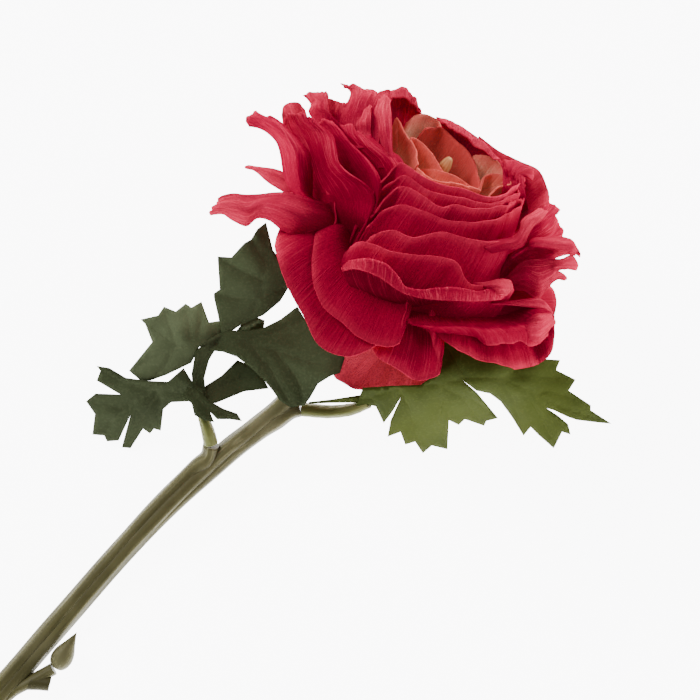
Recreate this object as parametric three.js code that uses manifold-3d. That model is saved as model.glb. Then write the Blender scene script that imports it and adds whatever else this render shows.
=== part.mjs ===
// Persian buttercup flower of silk and moulded plastic, lying on its side on a table.
// Millimetres, +Z up.  The bloom faces up and to the right, the leaves lie left and right
// of it, and the bundled stem runs down to the lower left and ends in a plain cut.

import * as THREE from 'three';
import Module from 'manifold-3d';

const wasm = await Module();
wasm.setup();

// ---------------------------------------------------------------- driving sizes
const BLOOM_DIAMETER = 90;
const UNIT = BLOOM_DIAMETER / 385;      // one step of the plan that outlines are drawn on
const PLAN_CENTRE = [350, 350];         // plan x runs right, plan y runs down the table
const PETAL_T = 0.7;
const LEAF_T = 0.9;
const GAP = 0.3;                        // play left where two pieces seat on each other
const BLOOM_TILT = THREE.MathUtils.degToRad(24);
const BLOOM_HEADING = THREE.MathUtils.degToRad(56.6);
const CALYX_Z = 31;
const PRESS = 1.5;
const STRAND_R = 1.9;
const STEM_R = 2.5;

// plan position and height to millimetres
const at = (x, y, z) => new THREE.Vector3(
  (x - PLAN_CENTRE[0]) * UNIT, (PLAN_CENTRE[1] - y) * UNIT, z);

// ---------------------------------------------------------------- the bloom's own axes
const AXIS = new THREE.Vector3(
  Math.cos(BLOOM_HEADING) * Math.cos(BLOOM_TILT),
  Math.sin(BLOOM_HEADING) * Math.cos(BLOOM_TILT), Math.sin(BLOOM_TILT));
const SIDE = new THREE.Vector3(Math.sin(BLOOM_HEADING), -Math.cos(BLOOM_HEADING), 0);
const UP = SIDE.clone().cross(AXIS);    // turn 0 of the bloom is its upper side
const CALYX = at(368, 283, CALYX_Z);

const turned = (phi) => UP.clone().multiplyScalar(Math.cos(phi)).addScaledVector(SIDE, Math.sin(phi));
const inBloom = (r, phi, h) => CALYX.clone().addScaledVector(turned(phi), r).addScaledVector(AXIS, h);

// the point above plan (x, y) that lies r from the calyx
function onBall(x, y, r) {
  const p = at(x, y, CALYX_Z);
  p.z += Math.sqrt(Math.max(r * r - p.distanceToSquared(CALYX), 0));
  return p;
}

// ---------------------------------------------------------------- solids
// a closed mesh from rows of points: both faces split alike, walls round the edge
function sheet(rows, thickness) {
  const nv = rows.length, nu = rows[0].length, out = [], tri = [];
  const a = new THREE.Vector3(), b = new THREE.Vector3();
  const faces = [1, -1].map((side) => rows.map((row, j) => row.map((p, i) => {
    a.subVectors(row[Math.min(i + 1, nu - 1)], row[Math.max(i - 1, 0)]);
    b.subVectors(rows[Math.min(j + 1, nv - 1)][i], rows[Math.max(j - 1, 0)][i]);
    const n = a.cross(b).normalize();
    return p.clone().addScaledVector(n, side * thickness / 2);
  })));
  for (const f of faces) for (const row of f) for (const p of row) out.push(p.x, p.y, p.z);
  const id = (side, j, i) => side * nu * nv + j * nu + i;
  for (let j = 0; j < nv - 1; j++) for (let i = 0; i < nu - 1; i++) {
    const q = [id(0, j, i), id(0, j, i + 1), id(0, j + 1, i + 1), id(0, j + 1, i)];
    tri.push(q[0], q[1], q[2], q[0], q[2], q[3]);
    const w = q.map((k) => k + nu * nv);
    tri.push(w[0], w[2], w[1], w[0], w[3], w[2]);
  }
  const edge = [];
  for (let i = 0; i < nu - 1; i++) edge.push([0, i]);
  for (let j = 0; j < nv - 1; j++) edge.push([j, nu - 1]);
  for (let i = nu - 1; i > 0; i--) edge.push([nv - 1, i]);
  for (let j = nv - 1; j > 0; j--) edge.push([j, 0]);
  edge.forEach(([j, i], k) => {
    const [j2, i2] = edge[(k + 1) % edge.length];
    tri.push(id(0, j, i), id(1, j, i), id(1, j2, i2), id(0, j, i), id(1, j2, i2), id(0, j2, i2));
  });
  return solid(out, tri);
}

function solid(vertProperties, triVerts) {
  const make = (t) => new wasm.Manifold(new wasm.Mesh({
    numProp: 3, vertProperties: new Float32Array(vertProperties), triVerts: new Uint32Array(t) }));
  const body = make(triVerts);
  if (body.volume() > 0) return body;
  const back = [];
  for (let k = 0; k < triVerts.length; k += 3) back.push(triVerts[k], triVerts[k + 2], triVerts[k + 1]);
  return make(back);
}

// a tube with round section along points, its radius given at each point
function tube(points, radii, sides = 10, steps = 16) {
  const curve = new THREE.CatmullRomCurve3(points, false, 'centripetal');
  const out = [], tri = [], frames = curve.computeFrenetFrames(steps);
  for (let j = 0; j <= steps; j++) {
    const f = j / steps, p = curve.getPointAt(f);
    const k = f * (radii.length - 1), k0 = Math.min(Math.floor(k), radii.length - 2);
    const r = THREE.MathUtils.lerp(radii[k0], radii[k0 + 1], k - k0);
    for (let i = 0; i < sides; i++) {
      const t = 2 * Math.PI * i / sides;
      const v = p.clone().addScaledVector(frames.normals[j], r * Math.cos(t))
        .addScaledVector(frames.binormals[j], r * Math.sin(t));
      out.push(v.x, v.y, v.z);
    }
  }
  for (let j = 0; j < steps; j++) for (let i = 0; i < sides; i++) {
    const a = j * sides + i, b = j * sides + (i + 1) % sides;
    tri.push(a, b, b + sides, a, b + sides, a + sides);
  }
  for (let i = 1; i < sides - 1; i++) {
    tri.push(0, i + 1, i);
    const e = steps * sides;
    tri.push(e, e + i, e + i + 1);
  }
  return solid(out, tri);
}

// a turned piece on the bloom's axis: profile of [radius, height] pairs
function turnedPiece(profile, sides = 14, base = CALYX, axis = AXIS) {
  const geo = new THREE.LatheGeometry(profile.map(([r, h]) => new THREE.Vector2(r, h)), sides);
  const q = new THREE.Quaternion().setFromUnitVectors(new THREE.Vector3(0, 1, 0), axis);
  geo.applyQuaternion(q).translate(base.x, base.y, base.z);
  return solidOf(geo);
}

function solidOf(geo) {
  const pos = geo.attributes.position, key = new Map(), out = [], ids = [], tri = [];
  for (let k = 0; k < pos.count; k++) {
    const v = [pos.getX(k), pos.getY(k), pos.getZ(k)], s = v.map((x) => x.toFixed(4)).join();
    if (!key.has(s)) { key.set(s, out.length / 3); out.push(...v); }
    ids.push(key.get(s));
  }
  const index = geo.index.array;
  for (let k = 0; k < index.length; k += 3) {
    const t = [ids[index[k]], ids[index[k + 1]], ids[index[k + 2]]];
    if (new Set(t).size === 3) tri.push(...t);
  }
  return solid(out, tri);
}

// joins bodies into one and fills any hollow that they close in between them
function fuse(bodies) {
  return largest(parted(largest(wasm.Manifold.union(bodies)).simplify(0.1)));
}

// Where the surface meets itself at a point or along an edge, both sides step back from it.
function parted(body, step = 0.02) {
  const { vertProperties: v, triVerts: t } = body.getMesh();
  const count = v.length / 3, points = [], normals = [];
  for (let k = 0; k < count; k++) {
    points.push(new THREE.Vector3(v[3 * k], v[3 * k + 1], v[3 * k + 2]));
    normals.push(new THREE.Vector3());
  }
  for (let k = 0; k < t.length; k += 3) {
    const [p, q, r] = [t[k], t[k + 1], t[k + 2]];
    const n = points[q].clone().sub(points[p]).cross(points[r].clone().sub(points[p]));
    for (const i of [p, q, r]) normals[i].add(n);
  }
  const order = [...points.keys()].sort((p, q) => points[p].x - points[q].x);
  const near = new Set();
  for (let m = 0; m < count; m++) {
    for (let k = m + 1; k < count && points[order[k]].x - points[order[m]].x < 2e-3; k++) {
      if (points[order[k]].distanceTo(points[order[m]]) < 2e-3) near.add(order[k]).add(order[m]);
    }
  }
  for (const i of near) points[i].addScaledVector(normals[i].normalize(), -step);
  return solid(points.flatMap((p) => [p.x, p.y, p.z]), [...t]);
}

function largest(body) {
  const shells = body.decompose().filter((b) => b.volume() > 0);
  return shells.sort((p, q) => q.volume() - p.volume())[0];
}

// ---------------------------------------------------------------- petals
// A petal is drawn by its rim: a curve through a few points.  Each of its ribs leaves the
// root at angle `lean` from the bloom's axis and meets the rim at `flare` past the rim
// point's own direction, so lean > flare cups the petal and flare > lean bends it back.
function petal(rim, { lean = 80, flare = 0, ruffle = 0.8, waves = 3, phase = 0, across = 7, along = 4,
  root = [3.6, 2], spread = 50 } = {}) {
  const q = new THREE.CatmullRomCurve3(rim, false, 'catmullrom', 0.5).getSpacedPoints(across - 1);
  const polar = q.map((p) => {
    const d = p.clone().sub(CALYX), a = d.dot(UP), b = d.dot(SIDE);
    return { phi: Math.atan2(b, a), psi: Math.atan2(Math.hypot(a, b), d.dot(AXIS)) };
  });
  for (let i = 1; i < across; i++) {
    const turn = 2 * Math.PI;
    polar[i].phi -= turn * Math.round((polar[i].phi - polar[i - 1].phi) / turn);
  }
  const first = polar[0].phi, last = polar[across - 1].phi;
  const middle = Math.abs(last - first) < 0.5 ? polar[(across - 1) / 2].phi
    : polar.reduce((s, p) => s + p.phi, 0) / across;
  const sense = last < first ? -1 : 1;
  const L0 = THREE.MathUtils.degToRad(lean);
  const rows = [];
  for (let j = 0; j < along; j++) {
    const t = j / (along - 1), row = [];
    for (let i = 0; i < across; i++) {
      const u = 2 * i / (across - 1) - 1;
      const { phi, psi } = polar[i], f = psi + THREE.MathUtils.degToRad(flare);
      const p0 = inBloom(root[0], middle + sense * u * THREE.MathUtils.degToRad(spread) / 2, root[1]);
      const length = q[i].distanceTo(p0);
      const p1 = p0.clone().addScaledVector(turned(phi), 0.40 * length * Math.sin(L0))
        .addScaledVector(AXIS, 0.40 * length * Math.cos(L0));
      const p2 = q[i].clone().addScaledVector(turned(phi), -0.30 * length * Math.sin(f))
        .addScaledVector(AXIS, -0.30 * length * Math.cos(f));
      row.push(new THREE.CubicBezierCurve3(p0, p1, p2, q[i]).getPoint(t));
    }
    rows.push(row);
  }
  return sheet(ruffled(rows, ruffle, waves, phase).map((row) => row.map(pressed)), PETAL_T);
}

// presses what would lie under the table flat on it, with a soft bend over PRESS millimetres
const pressed = (p) => {
  const low = p.z - PETAL_T / 2;
  if (low < PRESS) p.z = PETAL_T / 2 + (low < -PRESS ? 0 : (low + PRESS) ** 2 / (4 * PRESS));
  return p;
};

// pushes a sheet in and out along its normals, most at its rim
function ruffled(rows, depth, waves, phase) {
  const nv = rows.length, nu = rows[0].length;
  return rows.map((row, j) => row.map((p, i) => {
    const t = j / (nv - 1), u = 2 * i / (nu - 1) - 1;
    const du = row[Math.min(i + 1, nu - 1)].clone().sub(row[Math.max(i - 1, 0)]);
    const dv = rows[Math.min(j + 1, nv - 1)][i].clone().sub(rows[Math.max(j - 1, 0)][i]);
    const n = du.cross(dv).normalize();
    const wave = Math.sin(waves * Math.PI * u + phase) * (0.45 + 0.55 * Math.abs(u));
    return p.clone().addScaledVector(n, depth * t ** 2.2 * wave);
  }));
}

// a broad round petal on the ball, for the layers that are alike all round
function roundPetal(turnDeg, leanDeg, r, halfDeg, { corner = 8, ...shape }) {
  const rim = [-1, -0.6, 0, 0.6, 1].map((k) => {
    const phi = THREE.MathUtils.degToRad(turnDeg + halfDeg * k);
    const psi = THREE.MathUtils.degToRad(leanDeg + corner * Math.abs(k) ** 3);
    const d = r * (1 - 0.22 * Math.abs(k) ** 3);
    return inBloom(d * Math.sin(psi), phi, d * Math.cos(psi));
  });
  return petal(rim, { across: 5, along: 3, ...shape });
}

// rim points: [x, y, distance from the calyx] on the plan, or [x, y, null, height]
const rim = (points) => points.map(([x, y, r, z]) => (z === undefined ? onBall(x, y, r) : at(x, y, z)));

const SHAPED_PETALS = [
  // outer skirt, on the upper side of the bloom
  [[[300, 200, 36], [277, 228, 42], [276, 250, 43], [287, 285, 43], [305, 318, 43], [320, 346, 43],
    [347, 357, 43], [370, 349, 43], [398, 330, 42]], { lean: 92, flare: 20, waves: 2.2, phase: 1, across: 9 }],
  [[[322, 204, 36], [314, 232, 41], [312, 275, 42], [322, 305, 43], [342, 322, 44], [360, 338, 44],
    [387, 347, 44], [403, 341, 44], [402, 322, 42], [410, 294, 38]], { lean: 94, flare: -8, waves: 2, across: 9 }],
  [[[366, 338, 38], [377, 356, 42], [395, 368, 43], [417, 380, 44], [440, 372, 45], [436, 355, 43],
    [425, 330, 40]], { lean: 90, flare: 30, waves: 2.5, phase: 1, across: 7 }],
  [[[338, 348, null, 24], [333, 375, null, 20.5], [350, 387, null, 19], [372, 390, null, 18],
    [405, 390, null, 18], [426, 383, null, 19], [438, 362, null, 23]], { lean: 114, flare: 10, across: 7 }],
  [[[425, 330, 38], [447, 345, 42], [462, 352, 43], [482, 360, 43], [500, 365, 43], [516, 369, 43],
    [536, 365, 43], [550, 356, 42], [557, 342, 41], [555, 322, 38]], { lean: 90, flare: -5 }],
  [[[423, 327, 42], [444, 327, 43], [467, 326, 43], [479, 336, 44], [490, 346, 45], [507, 343, 45],
    [521, 340, 46], [533, 345, 46], [547, 338, 46], [556, 323, 45], [547, 312, 43], [530, 306, 40]],
  { lean: 84, flare: 18, ruffle: 0.5 }],
  // curled tips at the right
  [[[480, 310, 40], [500, 303, 42], [521, 299, 43], [537, 300, 44], [549, 308, 44], [557, 324, 43]],
    { lean: 80, across: 7 }],
  [[[500, 302, 41], [508, 279, 44], [528, 263, 46], [556, 259, 48], [578, 270, 50], [567, 280, 49],
    [545, 297, 47], [518, 308, 42]], { lean: 75, flare: 10 }],
  [[[512, 268, 42], [523, 248, 44], [542, 239, 46], [563, 238, 48], [581, 257, 50], [566, 262, 48],
    [545, 264, 46], [525, 276, 42]], { lean: 72, flare: 15 }],
  [[[500, 262, 40], [514, 240, 43], [521, 224, 45], [537, 213, 46], [557, 210, 47], [563, 226, 47],
    [561, 240, 46], [545, 256, 43]], { lean: 70, flare: 5 }],
  // layers that climb to the cup
  [[[343, 272, 38], [349, 264, 41], [362, 262, 43], [381, 264, 44], [396, 273, 45], [404, 287, 45],
    [418, 291, 45], [439, 291, 45], [464, 294, 45], [500, 300, 45], [524, 296, 42]],
  { lean: 84, flare: 25, ruffle: 0.4 }],
  [[[350, 256, 38], [360, 243, 42], [374, 245, 43], [390, 251, 44], [410, 255, 44], [447, 258, 45],
    [460, 268, 45], [468, 283, 45.5], [484, 284, 46], [500, 281, 46], [512, 289, 46]],
  { lean: 80, flare: 12, ruffle: 0.5 }],
  [[[360, 250, 38], [374, 236, 42], [392, 231, 43], [413, 238, 44], [439, 233, 44], [458, 237, 44],
    [480, 241, 45], [505, 240, 45], [522, 224, 43]], { lean: 76, flare: 8, ruffle: 0.6 }],
  [[[366, 232, 38], [380, 214, 42], [400, 206, 43], [422, 212, 44], [448, 222, 44], [476, 222, 44.5],
    [504, 216, 44.5], [522, 200, 43]], { lean: 70, ruffle: 0.6 }],
  [[[366, 210, 38], [376, 185, 42], [390, 160, 43], [399, 148, 44], [410, 163, 44.5], [424, 178, 45],
    [440, 186, 45], [462, 190, 45], [480, 196, 45], [496, 196, 45], [514, 186, 44], [525, 176, 42]],
  { lean: 62, flare: -12, ruffle: 0.4 }],
  // strips and tongues at the upper left
  [[[300, 234, null, 56], [275, 232, null, 56], [256, 222, null, 53], [240, 228, null, 54],
    [222, 221, null, 51], [211, 212, null, 47], [222, 203, null, 43], [235, 197, null, 41],
    [262, 197, null, 39], [290, 196, null, 38]], { lean: 84, flare: 10, ruffle: 0.4, across: 9 }],
  [[[300, 190, null, 38], [275, 175, null, 36], [244, 166, null, 36], [262, 174, null, 32],
    [290, 192, null, 30]], { lean: 80, flare: 10, ruffle: 0.3, across: 7 }],
  [[[291, 200, null, 50], [284, 170, null, 46], [275, 143, null, 43], [258, 130, null, 42],
    [247, 117, null, 44], [256, 112, null, 47], [268, 115, null, 49], [286, 125, null, 52],
    [300, 142, null, 55], [309, 160, null, 57], [312, 178, null, 58], [311, 196, null, 57]],
  { lean: 84, flare: 10, ruffle: 0.3, across: 9 }],
  [[[286, 140, null, 33], [282, 118, null, 32], [283, 106, null, 33], [290, 102, null, 35],
    [300, 103, null, 36], [304, 116, null, 37], [304, 136, null, 38]], { lean: 76, ruffle: 0.3, across: 7 }],
  [[[361, 236, 39.5], [340, 214, 42], [325, 202, 44], [313, 188, 45], [302, 158, 46], [292, 132, 47],
    [286, 115, 48], [300, 116, 48], [313, 117, 48], [326, 126, 48.5], [334, 142, 48.5], [338, 158, 48],
    [352, 178, 47.5], [371, 197, 46], [376, 212, 43.5], [371, 226, 40]],
  { lean: 84, flare: -10, ruffle: 0.2, across: 11 }],
  [[[292, 130, null, 38], [303, 98, null, 38], [313, 93, null, 38], [326, 92, null, 39],
    [338, 101, null, 42], [345, 115, null, 46], [352, 132, null, 50]], { lean: 68, flare: 5, across: 7 }],
  [[[342, 135, null, 40], [345, 110, null, 40], [339, 84, null, 41], [352, 89, null, 40],
    [372, 94, null, 40], [384, 100, null, 42], [380, 125, null, 46]], { lean: 62, ruffle: 0.5, across: 7 }],
  [[[372, 120, null, 38], [384, 98, null, 38], [393, 95, null, 38], [412, 98, null, 38],
    [421, 112, null, 38], [424, 128, null, 38]], { lean: 66, flare: -4, ruffle: 0.5, across: 7 }],
  [[[370, 165, null, 58], [372, 130, null, 53], [376, 104, null, 47], [386, 97, null, 46],
    [394, 102, null, 46], [396, 130, null, 52], [396, 165, null, 60]],
  { lean: 64, flare: -8, ruffle: 0.4, across: 7 }],
  [[[312, 150, null, 50], [322, 125, null, 47], [338, 134, null, 52], [354, 150, null, 58],
    [367, 168, null, 63], [378, 188, null, 67], [384, 212, null, 69], [376, 236, null, 68]],
  { lean: 76, flare: -6, ruffle: 0.4 }],
  // far side of the cup
  [[[436, 118, null, 33], [452, 125, null, 33], [470, 130, null, 33], [486, 142, null, 35],
    [500, 158, null, 38], [513, 178, null, 43], [521, 196, null, 50]],
  { lean: 52, flare: -15, ruffle: 0.3, across: 7 }],
  [[[480, 135, null, 28], [500, 150, null, 29], [520, 160, null, 30], [540, 170, null, 31],
    [548, 190, null, 35], [550, 212, null, 41]],
  { lean: 62, flare: -5, ruffle: 0.5, across: 7 }],
];

function redPetals() {
  const bodies = [turnedPiece([[0, 0.3], [4.6, 0.3], [8, 2], [9, 4.2], [5.5, 4.5], [0, 4.5]])];
  for (const [points, shape] of SHAPED_PETALS) bodies.push(petal(rim(points), shape));
  for (let i = 0; i < 3; i++) bodies.push(roundPetal(110 + 70 * i, 28, 43, 42, { lean: 62, flare: -20, ruffle: 0 }));
  for (let i = 0; i < 2; i++) bodies.push(roundPetal(170 + 60 * i, 42, 44, 42, { lean: 68, flare: -12, ruffle: 0.5, phase: 1.3 * i }));
  for (let i = 0; i < 5; i++) bodies.push(roundPetal(122 + 38 * i, 71, 46, 30, { lean: 84, flare: -8, phase: i }));
  for (let i = 0; i < 4; i++) bodies.push(roundPetal(140 + 38 * i, 56, 44, 30, { lean: 76, flare: -5, phase: i }));
  return fuse(bodies);
}

function heartPetals() {
  const bodies = [turnedPiece([[0, 4.5 + GAP], [2.6, 4.5 + GAP], [3, 9], [2.4, 11], [0, 11]], 12)];
  for (let i = 0; i < 6; i++) {
    bodies.push(roundPetal(20 + 60 * i, 16, 39, 34,
      { corner: 2, lean: 40, flare: -16, ruffle: 0.4, phase: 1.9 * i, root: [2.2, 9], spread: 60 }));
  }
  return fuse(bodies);
}

// ---------------------------------------------------------------- leaves
// A leaflet is its toothed outline on the plan and a few height marks [x, y, z].  Between
// the marks its height is their mean, each weighed by its nearness.
function heightOn(marks) {
  const points = marks.map(([x, y, z]) => at(x, y, z));
  return (p) => {
    let sum = 0, total = 0;
    for (const m of points) {
      const w = ((m.x - p.x) ** 2 + (m.y - p.y) ** 2 + 1) ** -1.5;
      sum += w * m.z;
      total += w;
    }
    return sum / total;
  };
}

// halves every edge longer than `longest` until none is left, alike in both its triangles
function split(points, faces, longest) {
  for (let again = true; again;) {
    again = false;
    const middle = new Map(), next = [];
    const half = (a, b) => {
      if (points[a].distanceTo(points[b]) <= longest) return null;
      const key = a < b ? `${a} ${b}` : `${b} ${a}`;
      if (!middle.has(key)) middle.set(key, points.push(points[a].clone().lerp(points[b], 0.5)) - 1);
      return middle.get(key);
    };
    for (const f of faces) {
      const m = f.map((v, k) => half(v, f[(k + 1) % 3])), cuts = m.filter((v) => v !== null).length;
      if (cuts === 0) { next.push(f); continue; }
      again = true;
      if (cuts === 3) {
        next.push([f[0], m[0], m[2]], [m[0], f[1], m[1]], [m[2], m[1], f[2]], m);
      } else if (cuts === 1) {
        const k = m.findIndex((v) => v !== null), [a, b, c] = [f[k], f[(k + 1) % 3], f[(k + 2) % 3]];
        next.push([a, m[k], c], [m[k], b, c]);
      } else {
        const k = m.findIndex((v) => v === null), [a, b, c] = [f[k], f[(k + 1) % 3], f[(k + 2) % 3]];
        const [bc, ca] = [m[(k + 1) % 3], m[(k + 2) % 3]];
        next.push([a, b, bc], [a, bc, ca], [ca, bc, c]);
      }
    }
    faces = next;
  }
  return faces;
}

function leaflet(outline, marks, longest = 9) {
  const points = outline.map(([x, y]) => new THREE.Vector2(at(x, y, 0).x, at(x, y, 0).y));
  if (THREE.ShapeUtils.isClockWise(points)) points.reverse();
  const faces = split(points, THREE.ShapeUtils.triangulateShape(points.slice(), []), longest);
  const height = heightOn(marks), n = points.length, out = [], tri = [], open = new Map();
  for (const side of [1, -1]) for (const p of points) out.push(p.x, p.y, height(p) + side * LEAF_T / 2);
  for (const [a, b, c] of faces) {
    tri.push(a, b, c, a + n, c + n, b + n);
    for (const [p, q] of [[a, b], [b, c], [c, a]]) {
      if (!open.delete(`${q} ${p}`)) open.set(`${p} ${q}`, [p, q]);
    }
  }
  for (const [p, q] of open.values()) tri.push(q, p, p + n, q, p + n, q + n);
  return solid(out, tri);
}

const RIGHT_LEAFLETS = [
  [[[356, 406], [363, 388], [391, 386], [421, 385], [439, 372], [441, 354], [442, 336], [466, 330], [492, 334],
    [506, 350], [545, 359], [562, 360], [558, 370], [578, 380], [571, 391], [594, 406], [594, 411], [616, 425],
    [604, 424], [580, 421], [571, 418], [556, 411], [549, 409], [560, 416], [571, 425], [574, 436], [565, 433],
    [557, 450], [541, 436], [533, 428], [526, 437], [514, 418], [502, 402], [491, 394], [477, 391], [464, 381],
    [478, 393], [500, 419], [488, 422], [486, 427], [466, 420], [460, 426], [450, 421], [449, 451], [433, 447],
    [424, 455], [416, 443], [406, 446], [401, 433], [388, 438], [391, 421], [401, 398], [393, 412], [384, 424],
    [376, 407], [372, 406]],
  [[357, 404, 20], [390, 390, 26], [421, 387, 29], [452, 380, 30], [470, 350, 31], [491, 378, 28],
    [530, 391, 22], [570, 406, 13], [616, 425, 0.5], [557, 450, 2.5], [525, 415, 14], [449, 451, 3],
    [424, 455, 3], [500, 419, 10], [388, 438, 10], [384, 424, 15], [560, 362, 20], [594, 406, 9], [440, 415, 19]]],
];

RIGHT_LEAFLETS.push(
  // narrow green edge that runs down the stalk
  [[[308, 402.5], [330, 400], [362, 395], [362, 403], [330, 403.5], [308, 404.5]],
    [[308, 403, 15.5], [330, 402, 17.5], [360, 400, 20.5]]]);

const LEFT_LEAFLETS = [
  // upper leaflet, its tip under the bloom
  [[[221, 336], [217, 315], [213, 297], [213, 293], [219, 289], [217, 256], [231, 257], [244, 243], [251, 239],
    [257, 229], [266, 222], [273, 250], [284, 265], [288, 288], [280, 301], [263, 315], [240, 325], [228, 333]],
  [[222, 334, 22], [240, 322, 24], [264, 306, 27], [266, 284, 32], [264, 248, 36], [266, 222, 37],
    [215, 293, 27], [218, 258, 31], [286, 285, 29]]],
  // leaflet that points left
  [[[221, 336], [221, 320], [208, 322], [200, 301], [190, 307], [184, 303], [174, 311], [162, 306], [156, 315],
    [138, 319], [143, 324], [150, 342], [126, 371], [138, 381], [148, 381], [165, 375], [190, 363], [198, 347],
    [212, 341]],
  [[220, 332, 21.5], [206, 334, 22], [184, 341, 21], [156, 353, 16], [126, 371, 10], [200, 301, 17],
    [138, 319, 13], [162, 306, 15], [148, 381, 13], [190, 363, 18]]],
  // lower-left leaflet in three lobes
  [[[192, 384], [182, 368], [166, 382], [145, 381], [123, 378], [106, 368], [93, 366], [97, 371], [93, 381],
    [117, 395], [92, 394], [82, 402], [91, 415], [88, 436], [100, 437], [103, 443], [115, 442], [127, 417],
    [118, 449], [127, 450], [140, 430], [147, 435], [151, 430], [158, 432], [161, 410], [169, 403], [188, 402], [202, 401], [202, 390]],
  [[198, 395, 15.5], [166, 392, 13.5], [140, 388, 12], [117, 382, 9.5], [93, 366, 8], [140, 402, 10.5],
    [110, 418, 5.5], [88, 436, 0.5], [145, 420, 7.5], [122, 448, 1.5], [84, 402, 5], [156, 430, 5]]],
  // curled leaflet over the stalk's foot
  [[[180, 396], [186, 387], [198, 391], [208, 401], [222, 409], [236, 414], [241, 422], [229, 420], [216, 420],
    [209, 413], [213, 423], [203, 421], [193, 416], [190, 404]],
  [[184, 390, 16.5], [200, 400, 18.2], [210, 412, 18.3], [212, 422, 17.4], [196, 414, 17.4], [224, 415, 17.5],
    [241, 422, 15]]],
  // large leaflet under the bloom, above the stem
  [[[203, 350], [214, 334], [228, 330], [245, 331], [262, 328], [280, 319], [297, 306], [310, 328], [332, 345],
    [345, 357], [340, 373], [331, 376], [318, 384], [310, 398], [304, 406], [290, 408], [279, 401], [272, 391],
    [263, 380], [250, 368], [236, 357], [222, 352]],
  [[205, 346, 20], [235, 342, 22.5], [268, 350, 24.5], [295, 375, 24.5], [304, 406, 22], [297, 310, 26],
    [345, 360, 29.5], [331, 372, 30], [280, 322, 25], [272, 388, 22]]],
  // leaflet behind it
  [[[202, 394], [204, 386], [220, 376], [236, 360], [250, 366], [262, 378], [268, 389], [243, 392], [214, 404],
    [203, 402]],
  [[203, 396, 15], [222, 384, 14], [243, 372, 13.5], [262, 382, 13], [240, 390, 12]]],
  // small leaflet at the top
  [[[224, 336], [236, 330], [242, 322], [254, 316], [264, 320], [263, 328], [254, 334], [238, 338]],
  [[228, 336, 21], [246, 328, 20], [262, 321, 18]]],
  // common stalk of the leaflets
  [[[192, 402], [190, 374], [194, 352], [212, 333], [224, 334], [208, 360], [203, 378], [205, 402]],
  [[199, 400, 15], [196, 376, 17.5], [201, 356, 20], [216, 336, 21.5]]],
];

const leaf = (leaflets) => fuse(leaflets.map(([outline, marks]) => leaflet(outline, marks)));

// ---------------------------------------------------------------- stem
// Three moulded strands side by side: the middle one carries the bloom, the others bear
// the left and right leaf and a short shoot with a bud.
const STEM_LINE = [[-130, 838, 2.8], [0, 690, 3.6], [130, 540, 5.5], [215, 460, 8.5], [252, 430, 11]];

const shifted = (line, side, lift = 0) => line.map(([x, y, z]) => at(x + side * 0.72, y + side * 0.69, z + lift));

function stem() {
  const main = [...shifted(STEM_LINE, 0), at(285, 402, 13.5), at(318, 358, 17), at(344, 318, 22.5),
    CALYX.clone().addScaledVector(AXIS, -2)];
  const left = [...shifted(STEM_LINE.slice(0, 3), -7), at(184, 478, 7.5), at(205, 461, 9.2), at(209.5, 446, 11)];
  const right = [...shifted(STEM_LINE.slice(0, 4), 8), at(258, 434, 11), at(286, 414, 12.5), at(300, 409, 13)];
  const shoot = [at(-40, 744, 3.4), at(0, 700, 3.6), at(30, 682, 4.2), at(52, 670, 5)];
  const bract = sheet([[at(22, 690, 4.4), at(34, 676, 4.6)], [at(36, 690, 4.6), at(42, 678, 4.8)],
    [at(47, 691, 4.8), at(50, 679, 5)]], 1);
  return fuse([
    tube(main, [STEM_R, STEM_R, STEM_R, STEM_R, 2.3, 2.3, 2.4], 10, 26),
    tube(left, [STRAND_R, STRAND_R, STRAND_R, 1.6, 1.9], 8, 20),
    tube(right, [STRAND_R, STRAND_R, STRAND_R, STRAND_R, 1.7], 8, 20),
    tube(shoot, [1.6, 1.8, 1.5, 1.5], 8, 8),
    bract,
    turnedPiece([[0, -6], [2.2, -6], [2.6, -3], [3.4, -1.2], [3.4, 0], [0, 0]]),
  ]);
}

function sepals() {
  const bodies = [];
  for (let i = 0; i < 5; i++) {
    const phi = THREE.MathUtils.degToRad(140 + 60 * i), rows = [];
    for (let j = 0; j < 5; j++) {
      const s = j / 4, r = 4.2 + 7.5 * s, h = -2.5 - 4.2 * s ** 0.8, half = 3.2 * (1 - s ** 2.2) + 0.35;
      rows.push([-1, 0, 1].map((k) => {
        const p = inBloom(r, phi, h + 0.6 * Math.abs(k));
        return p.addScaledVector(turned(phi + Math.PI / 2), k * half);
      }));
    }
    bodies.push(sheet(rows, LEAF_T));
  }
  bodies.push(turnedPiece([[3.4, -3.2], [4.6, -3.8], [5.1, -2.2], [4.6, -1.5], [3.4, -3.2]], 16));
  return fuse(bodies);
}

// ---------------------------------------------------------------- the part
const stalkRight = () => tube([at(304.5, 409.6, 13.3), at(328, 410.5, 14.6), at(350, 408, 16.6), at(368, 402, 18.2)],
  [1.5, 1.45, 1.35, 1], 8, 8);
const stalkLeft = () => tube([at(208.6, 441.5, 12.2), at(206, 431, 13.2), at(202, 418, 14.1), at(200, 405.5, 14.7)],
  [1.7, 1.6, 1.3, 1.1], 8, 7);

const BUD_BASE = at(56, 668, 5.2), BUD_TIP = at(76, 633, 7);
const BUD_LENGTH = BUD_BASE.distanceTo(BUD_TIP);
const bud = () => turnedPiece(
  [[0, 0], [1.3, 0], [2.2, 0.12], [2.55, 0.28], [2.2, 0.48], [1.3, 0.68], [0.55, 0.86], [0, 1]]
    .map(([r, f]) => [r, f * BUD_LENGTH]), 12, BUD_BASE, BUD_TIP.clone().sub(BUD_BASE).normalize());

const finish = (color, roughness) => new THREE.MeshStandardMaterial({ color, roughness, metalness: 0 });

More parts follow.
